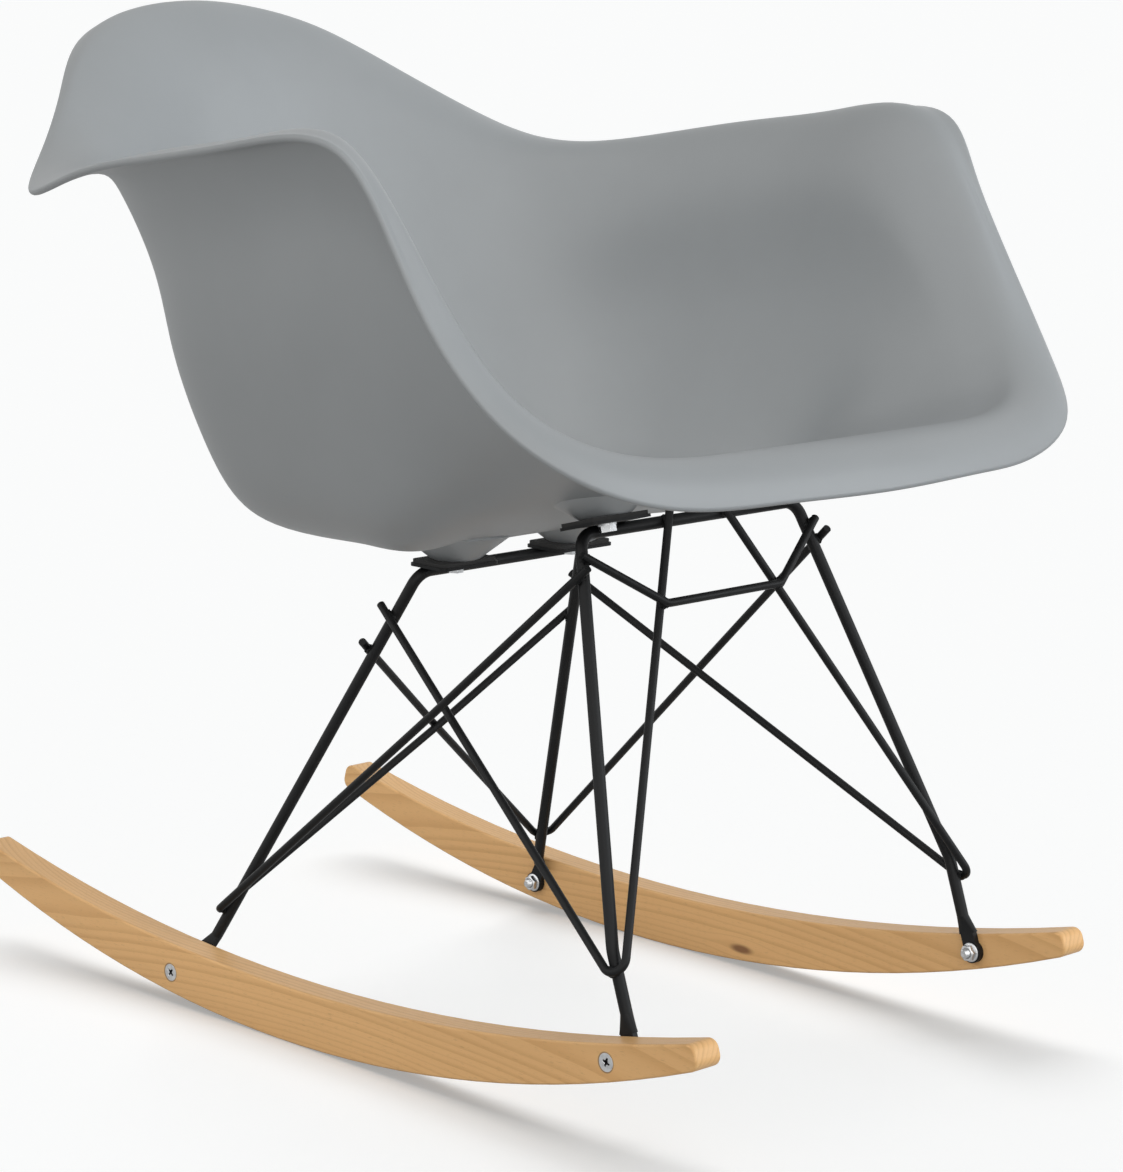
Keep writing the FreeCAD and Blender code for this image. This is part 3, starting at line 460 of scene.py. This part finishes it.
def capped(grid):
    """Points and faces of a grid of rings whose first and last rings close on one point each."""
    rows, columns, _ = grid.shape
    points = np.vstack([grid.reshape(-1, 3), grid[0].mean(0), grid[-1].mean(0)])
    j = np.arange(columns)
    k = (j + 1) % columns
    first, last = rows * columns, rows * columns + 1
    base = (rows - 1) * columns
    tips = np.vstack([
        np.stack([np.full(columns, first), k, j], -1),
        np.stack([np.full(columns, last), base + j, base + k], -1)])
    return points, grid_faces(rows, columns).tolist() + tips.tolist()


def ring_of(grid):
    """Points and faces of a grid that closes on itself both ways."""
    rows, columns, _ = grid.shape
    return grid.reshape(-1, 3), grid_faces(rows, columns, wrap_rows=True).tolist()


def join(parts):
    """Several lists of points and faces as one."""
    points, faces, start = [], [], 0
    for some, quads in parts:
        points.append(some)
        faces += [[k + start for k in face] for face in quads]
        start += len(some)
    return np.vstack(points), faces


def both_sides(points, faces):
    """A piece's points and faces, and their mirror image in the plane X = 0."""
    return [(points, faces), (points * (-1, 1, 1), [face[::-1] for face in faces])]


def add_piece(name, parts, material, sharp=None):
    """A mesh object at the origin, of several points and faces, that rides on the chair."""
    points, faces = join(parts)
    mesh = bpy.data.meshes.new(name)
    mesh.from_pydata(points.tolist(), [], faces)
    mesh.validate()
    mesh.shade_smooth()
    if sharp:
        mesh.set_sharp_from_angle(angle=math.radians(sharp))
    mesh.materials.append(material)
    item = bpy.data.objects.new(name, mesh)
    bpy.context.scene.collection.objects.link(item)
    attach(item, "root")
    return item


def full_turn(count):
    """Even marks round a circle."""
    return np.linspace(0, 2 * np.pi, count, endpoint=False)


def weld_bead(on_rod, on_wire, way, waist, flare):
    """A weld between a rod and a wire: rings round the line from one middle to the other.

    Half width = waist + flare * t^2, a little longer along the wire, with faint ripples;
    t runs from -1 in the rod to 1 in the wire.
    """
    middle, half_reach, stretch = 0.6, 0.28, 1.25
    start, end = np.array(on_rod) * MM, np.array(on_wire) * MM
    axis = (end - start) / np.linalg.norm(end - start)
    along = np.array(way) - axis * np.dot(way, axis)
    along /= np.linalg.norm(along)
    aside = np.cross(axis, along)
    t = np.linspace(-1, 1, 13)[:, None]
    turn = full_turn(28)[None, :]
    ripple = 1 + 0.05 * np.sin(7 * turn + 3 * t) + 0.03 * np.sin(12 * turn - 5 * t)
    half = (waist + flare * t ** 2) * ripple
    centre = start + (end - start) * middle
    reach = np.linalg.norm(end - start) * half_reach
    grid = (centre + axis * (t * reach)[..., None]
            + along * (stretch * half * np.cos(turn))[..., None]
            + aside * (half * np.sin(turn))[..., None])
    return capped(grid)


def cross_recess(x, y, length):
    """Depth of a cross recess: two tapered grooves that meet in a deeper middle."""
    near, far = np.minimum(abs(x), abs(y)), np.maximum(abs(x), abs(y))
    wide, wall, groove_depth, bowl_depth = 0.085 * length, 0.0002, 0.0013, 0.0012
    groove = np.clip((wide + wall - near) / wall, 0, 1)
    taper = np.clip((length / 2 - far) / (0.3 * length), 0, 1)
    bowl = np.clip(1 - np.hypot(x, y) / (0.27 * length), 0, 1)
    return groove_depth * groove * np.sqrt(taper) + bowl_depth * np.sqrt(bowl) * (near < 2 * wide)


def spline(knots, values, at, closed=False):
    """Points at the marks `at` of the cubic spline through values at knots.

    The bends at the knots solve one linear system: the slope is even across each knot, and the
    third derivative is even across the second and the last but one, or the spline closes.
    """
    step, rise = np.diff(knots), np.diff(values, axis=0)
    slope = rise / step.reshape((-1,) + (1,) * (values.ndim - 1))
    n = len(knots)
    system, right = np.zeros((n, n)), np.zeros_like(values)
    inner = np.arange(1, n - 1)
    system[inner, inner - 1], system[inner, inner + 1] = step[:-1], step[1:]
    system[inner, inner] = 2 * (step[:-1] + step[1:])
    right[1:-1] = 6 * (slope[1:] - slope[:-1])
    if closed:
        system[0, [0, -1]] = 1, -1
        system[-1, [0, 1, -2, -1]] = 2 * step[0], step[0], step[-1], 2 * step[-1]
        right[-1] = 6 * (slope[0] - slope[-1])
    else:
        system[0, :3] = 1 / step[0], -1 / step[0] - 1 / step[1], 1 / step[1]
        system[-1, -3:] = 1 / step[-2], -1 / step[-2] - 1 / step[-1], 1 / step[-1]
    bend = np.linalg.solve(system, right.reshape(n, -1)).reshape(values.shape)
    k = np.clip(np.searchsorted(knots, at, side="right") - 1, 0, n - 2)
    shape = (-1,) + (1,) * (values.ndim - 1)
    gap, left, ahead = (a.reshape(shape) for a in (step[k], knots[k + 1] - at, at - knots[k]))
    return ((bend[k] * left ** 3 + bend[k + 1] * ahead ** 3) / (6 * gap)
            + (values[k] / gap - bend[k] * gap / 6) * left
            + (values[k + 1] / gap - bend[k + 1] * gap / 6) * ahead)


def marks_of(lengths):
    """Marks from 0 to 1 spaced as the lengths are."""
    return np.concatenate([[0.0], np.cumsum(lengths)]) / np.sum(lengths)


def soft_step(value, low, high):
    """A smooth step from 0 at low to 1 at high."""
    part = np.clip((value - low) / (high - low), 0, 1)
    return part * part * (3 - 2 * part)


def shell_net(details):
    """The seat's net of points, one row for each station round it, in millimetres.

    Each row runs from the lowest point over a shallow dish, z = DISH_X x^2 + DISH_Y y^2, up a
    profile blended from front, side and back by the station's bearing, over the crest and
    down the rolled flange to the edge. The right half mirrors the left.
    """
    size = np.array([details.shell_width / 2, details.shell_depth, details.shell_height]) / MM
    start, low = np.array([0.0, LIP_Y, LOWEST[2]]), np.array(LOWEST)
    crest, edge = start + np.array(SHELL_CREST) * size, start + np.array(SHELL_EDGE) * size
    run = crest - low
    rise, run[:, 2] = run[:, 2].copy(), 0.0
    bearing = np.degrees(np.arctan2(run[:, 0], -run[:, 1]))
    front, back = 1 - soft_step(bearing, *FRONT_TO_SIDE), soft_step(bearing, *SIDE_TO_BACK)
    blend = np.stack([front, 1 - front - back, back])
    profile = np.einsum("ks,kpa->spa", blend, np.array([FRONT_RISE, SIDE_RISE, BACK_RISE]))
    ring = run / np.linalg.norm(run, axis=1, keepdims=True) * DISH_RADIUS
    ring[:, 2] = DISH_X * ring[:, 0] ** 2 + DISH_Y * ring[:, 1] ** 2
    rows = (low + run[:, None] * profile[..., :1]
            + (rise[:, None] * profile[..., 1])[..., None] * (0, 0, 1))
    roll = crest + (edge - crest) * ROLL
    half = np.concatenate([np.repeat(low[None, None], len(crest), 0), (low + ring)[:, None], rows,
                           crest[:, None], roll[:, None], edge[:, None]], 1)
    return np.concatenate([half, half[-2:0:-1] * (-1, 1, 1)])


def shell_skin(details, around=320, across=84):
    """The seat's upper surface and its downward normals, ring by ring from the lowest point.

    Splines run along each row of the net, carried on over the lowest point into the opposite
    row so that the middle is smooth, and then round each ring.
    """
    net = shell_net(details)
    stations = len(net)
    again = np.concatenate([net, net[:1]])
    turns = marks_of(np.linalg.norm(np.diff(again[:, 1:], axis=0), axis=2).mean(1))
    marks = marks_of(np.linalg.norm(np.diff(net, axis=1), axis=2).mean(0))
    opposite = net[(np.arange(stations) + stations // 2) % stations]
    rows = np.concatenate([opposite[:, 3:0:-1], net], 1).transpose(1, 0, 2)
    along = spline(np.concatenate([-marks[3:0:-1], marks]), rows, np.linspace(0, 1, across))
    skin = spline(turns, np.concatenate([along, along[:, :1]], 1).transpose(1, 0, 2),
                  np.linspace(0, 1, around, endpoint=False), closed=True)
    normal = np.cross(np.roll(skin, -1, 0) - np.roll(skin, 1, 0), np.gradient(skin, axis=1))
    normal[:, 1:] /= np.linalg.norm(normal[:, 1:], axis=2, keepdims=True)
    normal *= -np.sign(normal[:, across // 6, 2].mean())
    normal[:, 0] = 0, 0, -1
    return skin.transpose(1, 0, 2), normal.transpose(1, 0, 2)


def shell_wall(skin, normal, wall):
    """The shell as a closed grid of rings: up the outside, round the edge, down the inside.

    Edge: half a circle of the wall's thickness, its middle on the wall's middle surface.
    """
    outward = skin[-1] - skin[-2]
    outward -= normal[-1] * (outward * normal[-1]).sum(1, keepdims=True)
    outward /= np.linalg.norm(outward, axis=1, keepdims=True)
    turn = np.linspace(0, np.pi, 9)[:, None, None]
    round_edge = (skin[-1] + normal[-1] * wall / 2 * (1 - np.cos(turn))
                  + outward * wall / 2 * np.sin(turn))
    return np.concatenate([skin[1:-1], round_edge, (skin + normal * wall)[-2:0:-1]])[::-1]


def shell_boss(foot, up, middle, normal, details):
    """A boss under the seat, ring by ring: down its bore, over its foot and up to the wall.

    Its cone widens from the foot over the reach. Where the cone passes the wall's middle
    surface it follows that surface, so its top is hidden in the wall.
    """
    foot, up = np.array(foot), np.array(up)
    aside = np.array([1.0, 0.0, 0.0])
    ahead = np.cross(up, aside)
    bore, small, large, reach = (size / MM for size in (
        details.boss_bore / 2, details.boss_foot / 2, details.boss_top / 2, details.boss_reach))
    turn = full_turn(72)
    cone = np.linspace(0, 1, 26)
    radius = np.concatenate([[bore * 0.5, bore, bore, bore + 0.4, small - 0.5, small],
                             small + (large - small) * cone[1:], [large * 0.7, large * 0.4, 4.0]])
    past_wall = 99.0
    height = np.concatenate([[BORE_DEPTH, BORE_DEPTH, 0.3, 0.0, 0.0, 0.25], reach * cone[1:],
                             [past_wall] * 3])
    spoke = aside * np.cos(turn)[:, None] + ahead * np.sin(turn)[:, None]
    flat = foot + radius[:, None, None] * spoke
    near = (middle[..., 2] < SEAT_TOP).ravel()
    points, slopes = middle.reshape(-1, 3)[near], normal.reshape(-1, 3)[near]
    gap = flat.reshape(-1, 1, 3) - points
    across = gap - (gap @ up)[..., None] * up
    k = np.argmin((across ** 2).sum(-1), axis=1)
    reach_there = ((points[k] - flat.reshape(-1, 3)) * slopes[k]).sum(1) / (slopes[k] @ up)
    lift = np.minimum(height[:, None], reach_there.reshape(len(radius), -1))
    return flat + lift[..., None] * up


def screw(details):
    """A countersunk screw along its axis: depth below the face and radius, ring by ring.

    Head: a disc with a cross recess and a soft rim, then a cone to the body. Body: a plain
    stretch, then a thread whose radius is a triangle wave of (depth / pitch - turn), then a
    chamfered tip. Depth 0 is the face of the rocker.
    """
    head, body = details.screw_head / 2, details.screw_body / 2
    length, pitch = details.screw_length, details.thread_pitch
    sunk, thread_start, thread_depth, coil = 0.0001, 0.0265, 0.00042, 0.00011
    turn = full_turn(96)

    def even(values):
        return np.repeat(np.concatenate(values)[:, None], len(turn), 1)

    disc = np.linspace(0.03, 0.965, 34) * head
    x, y = disc[:, None] * np.cos(turn), disc[:, None] * np.sin(turn)
    face = sunk + cross_recess(x, y, details.recess)
    rim_r = head * np.array([0.985, 0.995, 0.99])
    rim_z = sunk + np.array([0.00003, 0.00012, 0.00025])
    cone_r = np.linspace(head * 0.97, body, 6)
    cone_z = sunk + (head - cone_r)
    cone_z[0] = rim_z[-1] + 0.00008
    z = np.concatenate([[0.008, 0.02, thread_start], np.arange(
        thread_start + 0.0001, length - 0.0006, coil)])
    wave = np.abs(((z[:, None] / pitch - turn / (2 * np.pi)) % 1) * 2 - 1)
    cut = thread_depth * np.clip((z[:, None] - thread_start) / 0.0006, 0, 1)
    thread = body - cut * np.clip(wave * 1.25 - 0.12, 0, 1)
    tip_r = body * np.array([0.86, 0.78, 0.70, 0.4])
    tip_z = length - np.array([0.00045, 0.0002, 0.0, -0.00003])
    radius = np.vstack([np.hypot(x, y), even([rim_r, cone_r]), thread, even([tip_r])])
    depth = np.vstack([face, even([rim_z, cone_z, z, tip_z])])
    return np.stack([-depth, radius * np.cos(turn), radius * np.sin(turn)], -1)


def nut(details):
    """A flanged hex nut along its axis, height from the seat and radius, ring by ring.

    The hexagon's radius is half the flats over the cosine of the turn from the nearest flat,
    cut by a cone that bevels its corners; the bore opens in a countersink.
    """
    flat, high = details.nut_flats / 2, details.nut_height
    flange, bore = details.nut_flange / 2, details.screw_body / 2 + 0.00006
    turn = full_turn(96)
    hexagon = flat / np.cos((turn + np.pi / 6) % (np.pi / 3) - np.pi / 6)
    corner, bevel_height, bevel = flat / math.cos(math.pi / 6), 0.0009, 0.0013
    rows = [(z, np.full_like(turn, r)) for z, r in (
        (0.0, bore), (0.0, flange - 0.0003), (0.0002, flange), (0.0007, flange))]
    rows += [(z, np.maximum(hexagon, r)) for z, r in (
        (0.0010, flange - 0.0004), (0.00125, flange - 0.0009))]
    rows += [(z, hexagon) for z in (0.0013, 0.0016, 0.0028)]
    rows += [(high - bevel_height * (1 - part), np.minimum(hexagon, corner - bevel * part))
             for part in np.linspace(0, 1, 6)]
    rows += [(z, np.full_like(turn, r)) for z, r in (
        (high, flat * 0.86), (high - 0.00005, bore + 0.0006), (high - 0.0007, bore))]
    radius = np.array([r for _, r in rows])
    height = np.array([z for z, _ in rows])[:, None] * np.ones_like(turn)
    return np.stack([height, radius * np.cos(turn), radius * np.sin(turn)], -1)


def at_bolts(make, grid, face_x, inward):
    """One piece at each of the four bolts, its axis along X from a face of the rocker."""
    parts, first_lean, next_lean = [], 0.35, 1.9
    for k, (y, z) in enumerate(BOLT_SPOTS):
        lean = first_lean + next_lean * k
        c, s = math.cos(lean), math.sin(lean)
        turned = np.stack([
            grid[..., 0] * inward, grid[..., 1] * c - grid[..., 2] * s,
            grid[..., 1] * s + grid[..., 2] * c], -1)
        points, faces = make(turned + np.array([face_x, y, z]) * MM)
        if inward < 0:
            faces = [face[::-1] for face in faces]
        parts += both_sides(points, faces)
    return parts


# Operators, one for each piece or group of like pieces


class CHAIR_OT_shared_effects(bpy.types.Operator):
    """Build the node groups that the materials share."""

    bl_idname = "chair.shared_effects"
    bl_label = "Shared effects"

    def execute(self, context):
        for build in (build_fine_grain, build_settled_dust, build_edge_rub, build_year_rings,
                      build_metal_mottle, build_bolt_distance):
            build()
        return {"FINISHED"}


class CHAIR_OT_seat_shell(bpy.types.Operator):
    """The seat shell with its bosses, in satin moulded plastic."""

    bl_idname = "chair.seat_shell"
    bl_label = "Seat shell"

    def execute(self, context):
        looks = context.scene.chair_finishes
        material, tree = new_material("moulded plastic", Specular_IOR_Level=0.5)
        grain = tree.group("fine grain", Size=looks.grain_size)
        dust = tree.group("settled dust", Amount=0.05)
        colour = tree.mix(grain["Patches"], shade(looks.shell, 0.975), shade(looks.shell, 1.02))
        colour = tree.mix(dust["Mask"], colour, (0.62, 0.61, 0.58, 1.0))
        rough = tree.line(looks.shell_roughness - 0.03, 0.06, grain["Patches"])
        finish(tree, colour, tree.plus(rough, dust["Mask"]), grain["Height"], 0.00002)
        give(material, "seat_shell")
        details = context.scene.chair_details
        wall = details.wall / MM
        skin, normal = shell_skin(details)
        parts = [capped(shell_wall(skin, normal, wall) * MM)]
        for foot, up in BOSSES:
            boss = shell_boss(foot, up, (skin + normal * wall / 2)[1:], normal[1:], details)
            parts += both_sides(*capped(boss * MM))
        shell = add_piece("moulded_shell", parts, material, sharp=40)
        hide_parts("seat_shell")
        return {"FINISHED"}


class CHAIR_OT_wire_frame(bpy.types.Operator):
    """Give hoops, braces, stretcher and mount plates their black powder coat."""

    bl_idname = "chair.wire_frame"
    bl_label = "Wire frame"

    def execute(self, context):
        looks = context.scene.chair_finishes
        material, tree = new_material("powder coat", Specular_IOR_Level=0.16)
        peel = tree.group("fine grain", Size=looks.coat_size)
        dust = tree.group("settled dust", Amount=0.02)
        rub = tree.group("edge rub", Width=0.0006, Amount=0.35)
        colour = tree.mix(peel["Patches"], shade(looks.frame, 0.4), shade(looks.frame, 0.65))
        colour = tree.mix(rub["Mask"], colour, (0.03, 0.03, 0.031, 1.0))
        colour = tree.mix(dust["Mask"], colour, (0.3, 0.29, 0.27, 1.0))
        rough = tree.plus(tree.line(0.4, 0.08, peel["Patches"]), dust["Mask"])
        finish(tree, colour, rough, peel["Height"], 0.00003)
        give(material, *[name for name in NODES if name.startswith(
            ("mount_plate", "front_", "rear_", "side_brace", "cross_brace"))])
        return {"FINISHED"}


class CHAIR_OT_weld_beads(bpy.types.Operator):
    """Weld beads where wires meet rods, under the same coat."""

    bl_idname = "chair.weld_beads"
    bl_label = "Weld beads"

    def execute(self, context):
        details = context.scene.chair_details
        parts = []
        for on_rod, on_wire, way in WELDS:
            parts += both_sides(*weld_bead(
                on_rod, on_wire, way, details.bead_waist, details.bead_flare))
        add_piece("weld_beads", parts, bpy.data.materials["powder coat"])
        return {"FINISHED"}


class CHAIR_OT_rockers(bpy.types.Operator):
    """Give each rocker its own cut of lacquered pale wood."""

    bl_idname = "chair.rockers"
    bl_label = "Rockers"

    def execute(self, context):
        looks = context.scene.chair_finishes
        middle = (INNER_FACE_X + OUTER_FACE_X) / 2 * MM
        for word, (side, knot) in ROCKERS.items():
            material, tree = new_material(
                "lacquered wood " + word, Specular_IOR_Level=0.4, Coat_Weight=0.12,
                Coat_Roughness=0.3)
            heart = side * middle + looks.heart_aside
            wood = tree.group(
                "year rings", Heart_aside=heart, Heart_height=looks.heart_height,
                Ring_width=looks.ring_width, Arch=looks.arch, Knot_place=knot, Knot_size=0.0042)
            dust = tree.group("settled dust", Amount=0.04)
            rub = tree.group("edge rub", Width=0.0012, Amount=0.35)
            broad = tree.vector("MULTIPLY", tree.place, (20.0, 3.0, 20.0))
            tone = tree.step(tree.noise(broad, 1.0), 0.3, 0.7)
            pale = tuple(w * t for w, t in zip(looks.wood, looks.lacquer))
            colour = tree.mix(tone, shade(pale, 0.93), shade(pale, 1.03))
            off_bolt = tree.group("bolt distance")["Distance"]
            # painted shade: the wood is darkened in a ring round each screw head, where the head
            # meets the wood
            ring = tree.step(off_bolt, looks.hole_shade_radius, looks.hole_shade_radius - 0.0011, 0.0, 0.75)
            for share_of, over in (
                    (tree.times(wood["Late"], looks.late_share), shade(looks.late_wood, 1.0)),
                    (tree.times(wood["Fibres"], looks.fibre_share), shade(looks.late_wood, 1.15)),
                    (tree.times(wood["Pores"], looks.pore_share), shade(looks.late_wood, 0.6)),
                    (tree.times(wood["Knot"], looks.knot_share), (0.2, 0.075, 0.025, 1.0)),
                    (rub["Mask"], shade(pale, 1.08)), (ring, (0.12, 0.06, 0.025, 1.0)),
                    (dust["Mask"], (0.7, 0.66, 0.6, 1.0))):
                colour = tree.mix(share_of, colour, over)
            relief = tree.math("SUBTRACT", tree.times(wood["Late"], looks.late_share),
                               tree.line(wood["Pores"], 0.3, wood["Fibres"]))
            finish(tree, colour, tree.line(0.4, 0.12, wood["Fibres"]), relief, 0.00004)
            give(material, "rocker_" + word)
        return {"FINISHED"}


class CHAIR_OT_fasteners(bpy.types.Operator):
    """Screws with cross recesses and threads, bevelled nuts, and plated seat bolts."""

    bl_idname = "chair.fasteners"
    bl_label = "Fasteners"

    def execute(self, context):
        looks, details = context.scene.chair_finishes, context.scene.chair_details
        material, tree = new_material("zinc plate", Metallic=1.0)
        plate = tree.group("metal mottle", Size=0.004)
        rub = tree.group("edge rub", Width=0.0004, Amount=0.5)
        colour = tree.mix(plate["Cloud"], shade(looks.zinc, 0.86), shade(looks.zinc, 1.08))
        colour = tree.mix(rub["Mask"], colour, (0.8, 0.8, 0.81, 1.0))
        # the cross recess lies in shade: below the head's face, near the screw's axis
        aside = tree.math("ABSOLUTE", tree.parts(tree.place)["X"])
        face = OUTER_FACE_X * MM
        sunk = tree.times(tree.step(aside, face - 0.0002, face - 0.0006), tree.step(
            tree.group("bolt distance")["Distance"], 0.0037, 0.0033))
        sunk = tree.times(sunk, tree.step(aside, face - 0.004, face - 0.003))
        colour = tree.mix(sunk, colour, (0.035, 0.035, 0.036, 1.0))
        rough = tree.line(0.26, 0.12, plate["Cloud"])
        finish(tree, colour, rough, plate["Scratches"], 0.000015)
        give(material, "seat_bolts", "rocker_screws", "rocker_nuts")
        parts = at_bolts(capped, screw(details), OUTER_FACE_X, 1)
        screws = add_piece("cross_head_screws", parts, material, sharp=32)
        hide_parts("rocker_screws")
        parts = at_bolts(ring_of, nut(details), INNER_FACE_X - details.foot / MM, -1)
        nuts = add_piece("flanged_nuts", parts, material, sharp=32)
        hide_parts("rocker_nuts")
        return {"FINISHED"}


class CHAIR_OT_seat_mounts(bpy.types.Operator):
    """Rubber on the seat pads and brass on the inserts."""

    bl_idname = "chair.seat_mounts"
    bl_label = "Seat mounts"

    def execute(self, context):
        looks = context.scene.chair_finishes
        rubber, tree = new_material("pad rubber", Specular_IOR_Level=0.35)
        grain = tree.group("fine grain", Size=0.0009)
        colour = tree.mix(grain["Patches"], shade(looks.rubber, 0.8), shade(looks.rubber, 1.5))
        rough = tree.line(0.72, 0.12, grain["Patches"])
        finish(tree, colour, rough, grain["Height"], 0.00006)
        give(rubber, *[name for name in NODES if name.startswith("seat_pad")])
        brass, tree = new_material("insert brass", Metallic=1.0)
        cloud = tree.group("metal mottle", Size=0.003)
        colour = tree.mix(cloud["Cloud"], shade(looks.brass, 0.8), shade(looks.brass, 1.1))
        rough = tree.line(0.3, 0.15, cloud["Cloud"])
        finish(tree, colour, rough, cloud["Scratches"], 0.00002)
        give(brass, "seat_inserts")
        return {"FINISHED"}


def turn_of(*axes):
    """The matrix that turns X, Y and Z to these axes."""
    return Matrix(np.column_stack(axes).tolist()).to_4x4()


def sun(name, power, way, tint, degrees):
    """A far soft lamp that shines along a direction."""
    data = bpy.data.lights.new(name, "SUN")
    data.energy, data.angle, data.color = power, math.radians(degrees), tint
    lamp = bpy.data.objects.new(name, data)
    back = -np.array(way) / np.linalg.norm(way)
    side = np.cross((0.0, 0.0, 1.0), back)
    side /= np.linalg.norm(side)
    lamp.matrix_world = turn_of(side, np.cross(back, side), back)
    bpy.context.scene.collection.objects.link(lamp)
    return lamp


def link_light(lamp, purpose, item, state):
    """Let only this item, or all but this one, receive a lamp's light or block it."""
    group = bpy.data.collections.new(lamp.name + " " + purpose)
    group.objects.link(item)
    group.collection_objects[0].light_linking.link_state = state
    setattr(lamp.light_linking, purpose + "_collection", group)


class CHAIR_OT_stage(bpy.types.Operator):
    """Camera, lamps, world and a pale endless floor."""

    bl_idname = "chair.stage"
    bl_label = "Stage"

    def execute(self, context):
        scene, studio = context.scene, context.scene.chair_studio
        scene.view_settings.view_transform = "Standard"
        self.camera(scene, studio)
        floor = self.floor(scene, studio)
        shell = bpy.data.objects["moulded_shell"]
        # the floor has a lamp of its own, and only the key lamp is blocked by the shell
        for name, power, kind in (
                ("shadow lamp", studio.shadow_power, SHADOW), ("key lamp", studio.key_power, KEY),
                ("front fill", studio.front_power, FRONT_FILL),
                ("side fill", studio.side_power, SIDE_FILL)):
            lamp = sun(name, power, *kind)
            link_light(lamp, "receiver", floor, "INCLUDE" if kind is SHADOW else "EXCLUDE")
            if kind is not KEY:
                link_light(lamp, "blocker", shell, "EXCLUDE")
        self.world(scene, studio)
        return {"FINISHED"}

    @staticmethod
    def camera(scene, studio):
        """The camera, from its azimuth, elevation and roll."""
        a, e, r = studio.azimuth, studio.elevation, studio.roll
        back = np.array([math.sin(a) * math.cos(e), -math.cos(a) * math.cos(e), math.sin(e)])
        side = np.array([math.cos(a), math.sin(a), 0.0])
        up = np.cross(back, side)
        right = math.cos(r) * side + math.sin(r) * up
        over = math.cos(r) * up - math.sin(r) * side
        data = bpy.data.cameras.new("camera")
        data.lens, data.sensor_width = studio.lens, 36.0
        data.shift_x, data.shift_y = studio.shift
        data.clip_start, data.clip_end = 0.05, 200.0
        item = bpy.data.objects.new("camera", data)
        item.matrix_world = Matrix.Translation(studio.camera_place) @ turn_of(right, over, back)
        scene.collection.objects.link(item)
        scene.camera = item

    @staticmethod
    def floor(scene, studio):
        """A wide level floor whose plain light matches the backdrop."""
        half = 60.0
        mesh = bpy.data.meshes.new("floor")
        mesh.from_pydata([(-half, -half, 0), (half, -half, 0), (half, half, 0), (-half, half, 0)],
                         [], [(0, 1, 2, 3)])
        item = bpy.data.objects.new("floor", mesh)
        scene.collection.objects.link(item)
        material, tree = new_material("floor", Roughness=1.0, Specular_IOR_Level=0.0)
        grain = tree.group("fine grain", Size=0.004)
        light = tree.node("ShaderNodeLightPath").outputs
        pale = tree.mix(light["Is Camera Ray"], *(
            shade((tone,) * 3, 1.0) for tone in (studio.floor, studio.floor_seen)))
        tree.fill(tree.shader["Base Color"], tree.mix(
            tree.times(grain["Patches"], 0.004), pale, (0.5, 0.5, 0.5, 1.0)))
        seen = tree.math("MAXIMUM", light["Is Camera Ray"], light["Is Glossy Ray"])
        tree.fill(tree.shader["Emission Color"], (0.98, 1.0, 1.0, 1.0))
        lit = studio.floor_seen * (SHADOW_SHARE * studio.shadow_power / math.pi + studio.ambient)
        tree.fill(tree.shader["Emission Strength"], tree.times(seen, studio.backdrop - lit))
        mesh.materials.append(material)
        return item

    @staticmethod
    def world(scene, studio):
        """Even light all round, and the backdrop's colour where it is seen."""
        world = bpy.data.worlds.new("studio")
        world.use_nodes = True
        world.node_tree.nodes.clear()
        tree = Tree(world.node_tree)
        b, a = studio.backdrop, studio.ambient
        seen = tree.node("ShaderNodeBackground", {"Color": (b * 0.993, b, b, 1.0)})
        lit = tree.node("ShaderNodeBackground", {"Color": (a, a, a, 1.0)})
        light = tree.node("ShaderNodeLightPath").outputs
        rays = tree.math("MAXIMUM", light["Is Camera Ray"], tree.math(
            "MAXIMUM", light["Is Glossy Ray"], light["Is Transmission Ray"]))
        both = tree.node("ShaderNodeMixShader", {
            0: rays, 1: lit.outputs[0], 2: seen.outputs[0]})
        tree.node("ShaderNodeOutputWorld", {"Surface": both.outputs[0]})
        scene.world = world


OPERATORS = (
    CHAIR_OT_shared_effects, CHAIR_OT_seat_shell, CHAIR_OT_wire_frame, CHAIR_OT_weld_beads,
    CHAIR_OT_rockers, CHAIR_OT_fasteners, CHAIR_OT_seat_mounts, CHAIR_OT_stage)


class CHAIR_PT_panel(bpy.types.Panel):
    """The chair's pieces in the sidebar."""

    bl_label = "Rocking Chair"
    bl_idname = "CHAIR_PT_panel"
    bl_space_type = "VIEW_3D"
    bl_region_type = "UI"
    bl_category = "Rocking Chair"

    def draw(self, context):
        for operator in OPERATORS:
            self.layout.operator(operator.bl_idname)
        for group in (getattr(context.scene, name) for name in GROUPS):
            column = self.layout.column()
            for name in group.bl_rna.properties.keys():
                if name not in ("rna_type", "name"):
                    column.prop(group, name)


GROUPS = {
    "chair_finishes": ChairFinishes, "chair_details": ChairDetails, "chair_studio": StudioSettings}


def register():
    """Add the settings, operators and panel."""
    for item in (*GROUPS.values(), *OPERATORS, CHAIR_PT_panel):
        bpy.utils.register_class(item)
    for name, group in GROUPS.items():
        setattr(bpy.types.Scene, name, bpy.props.PointerProperty(type=group))


def unregister():
    """Take them away again."""
    for name in GROUPS:
        delattr(bpy.types.Scene, name)
    for item in (CHAIR_PT_panel, *reversed(OPERATORS), *reversed(GROUPS.values())):
        bpy.utils.unregister_class(item)


def main():
    """Build every piece in order."""
    register()
    for operator in OPERATORS:
        area, name = operator.bl_idname.split(".")
        getattr(getattr(bpy.ops, area), name)()


if __name__ == "__main__":
    main()
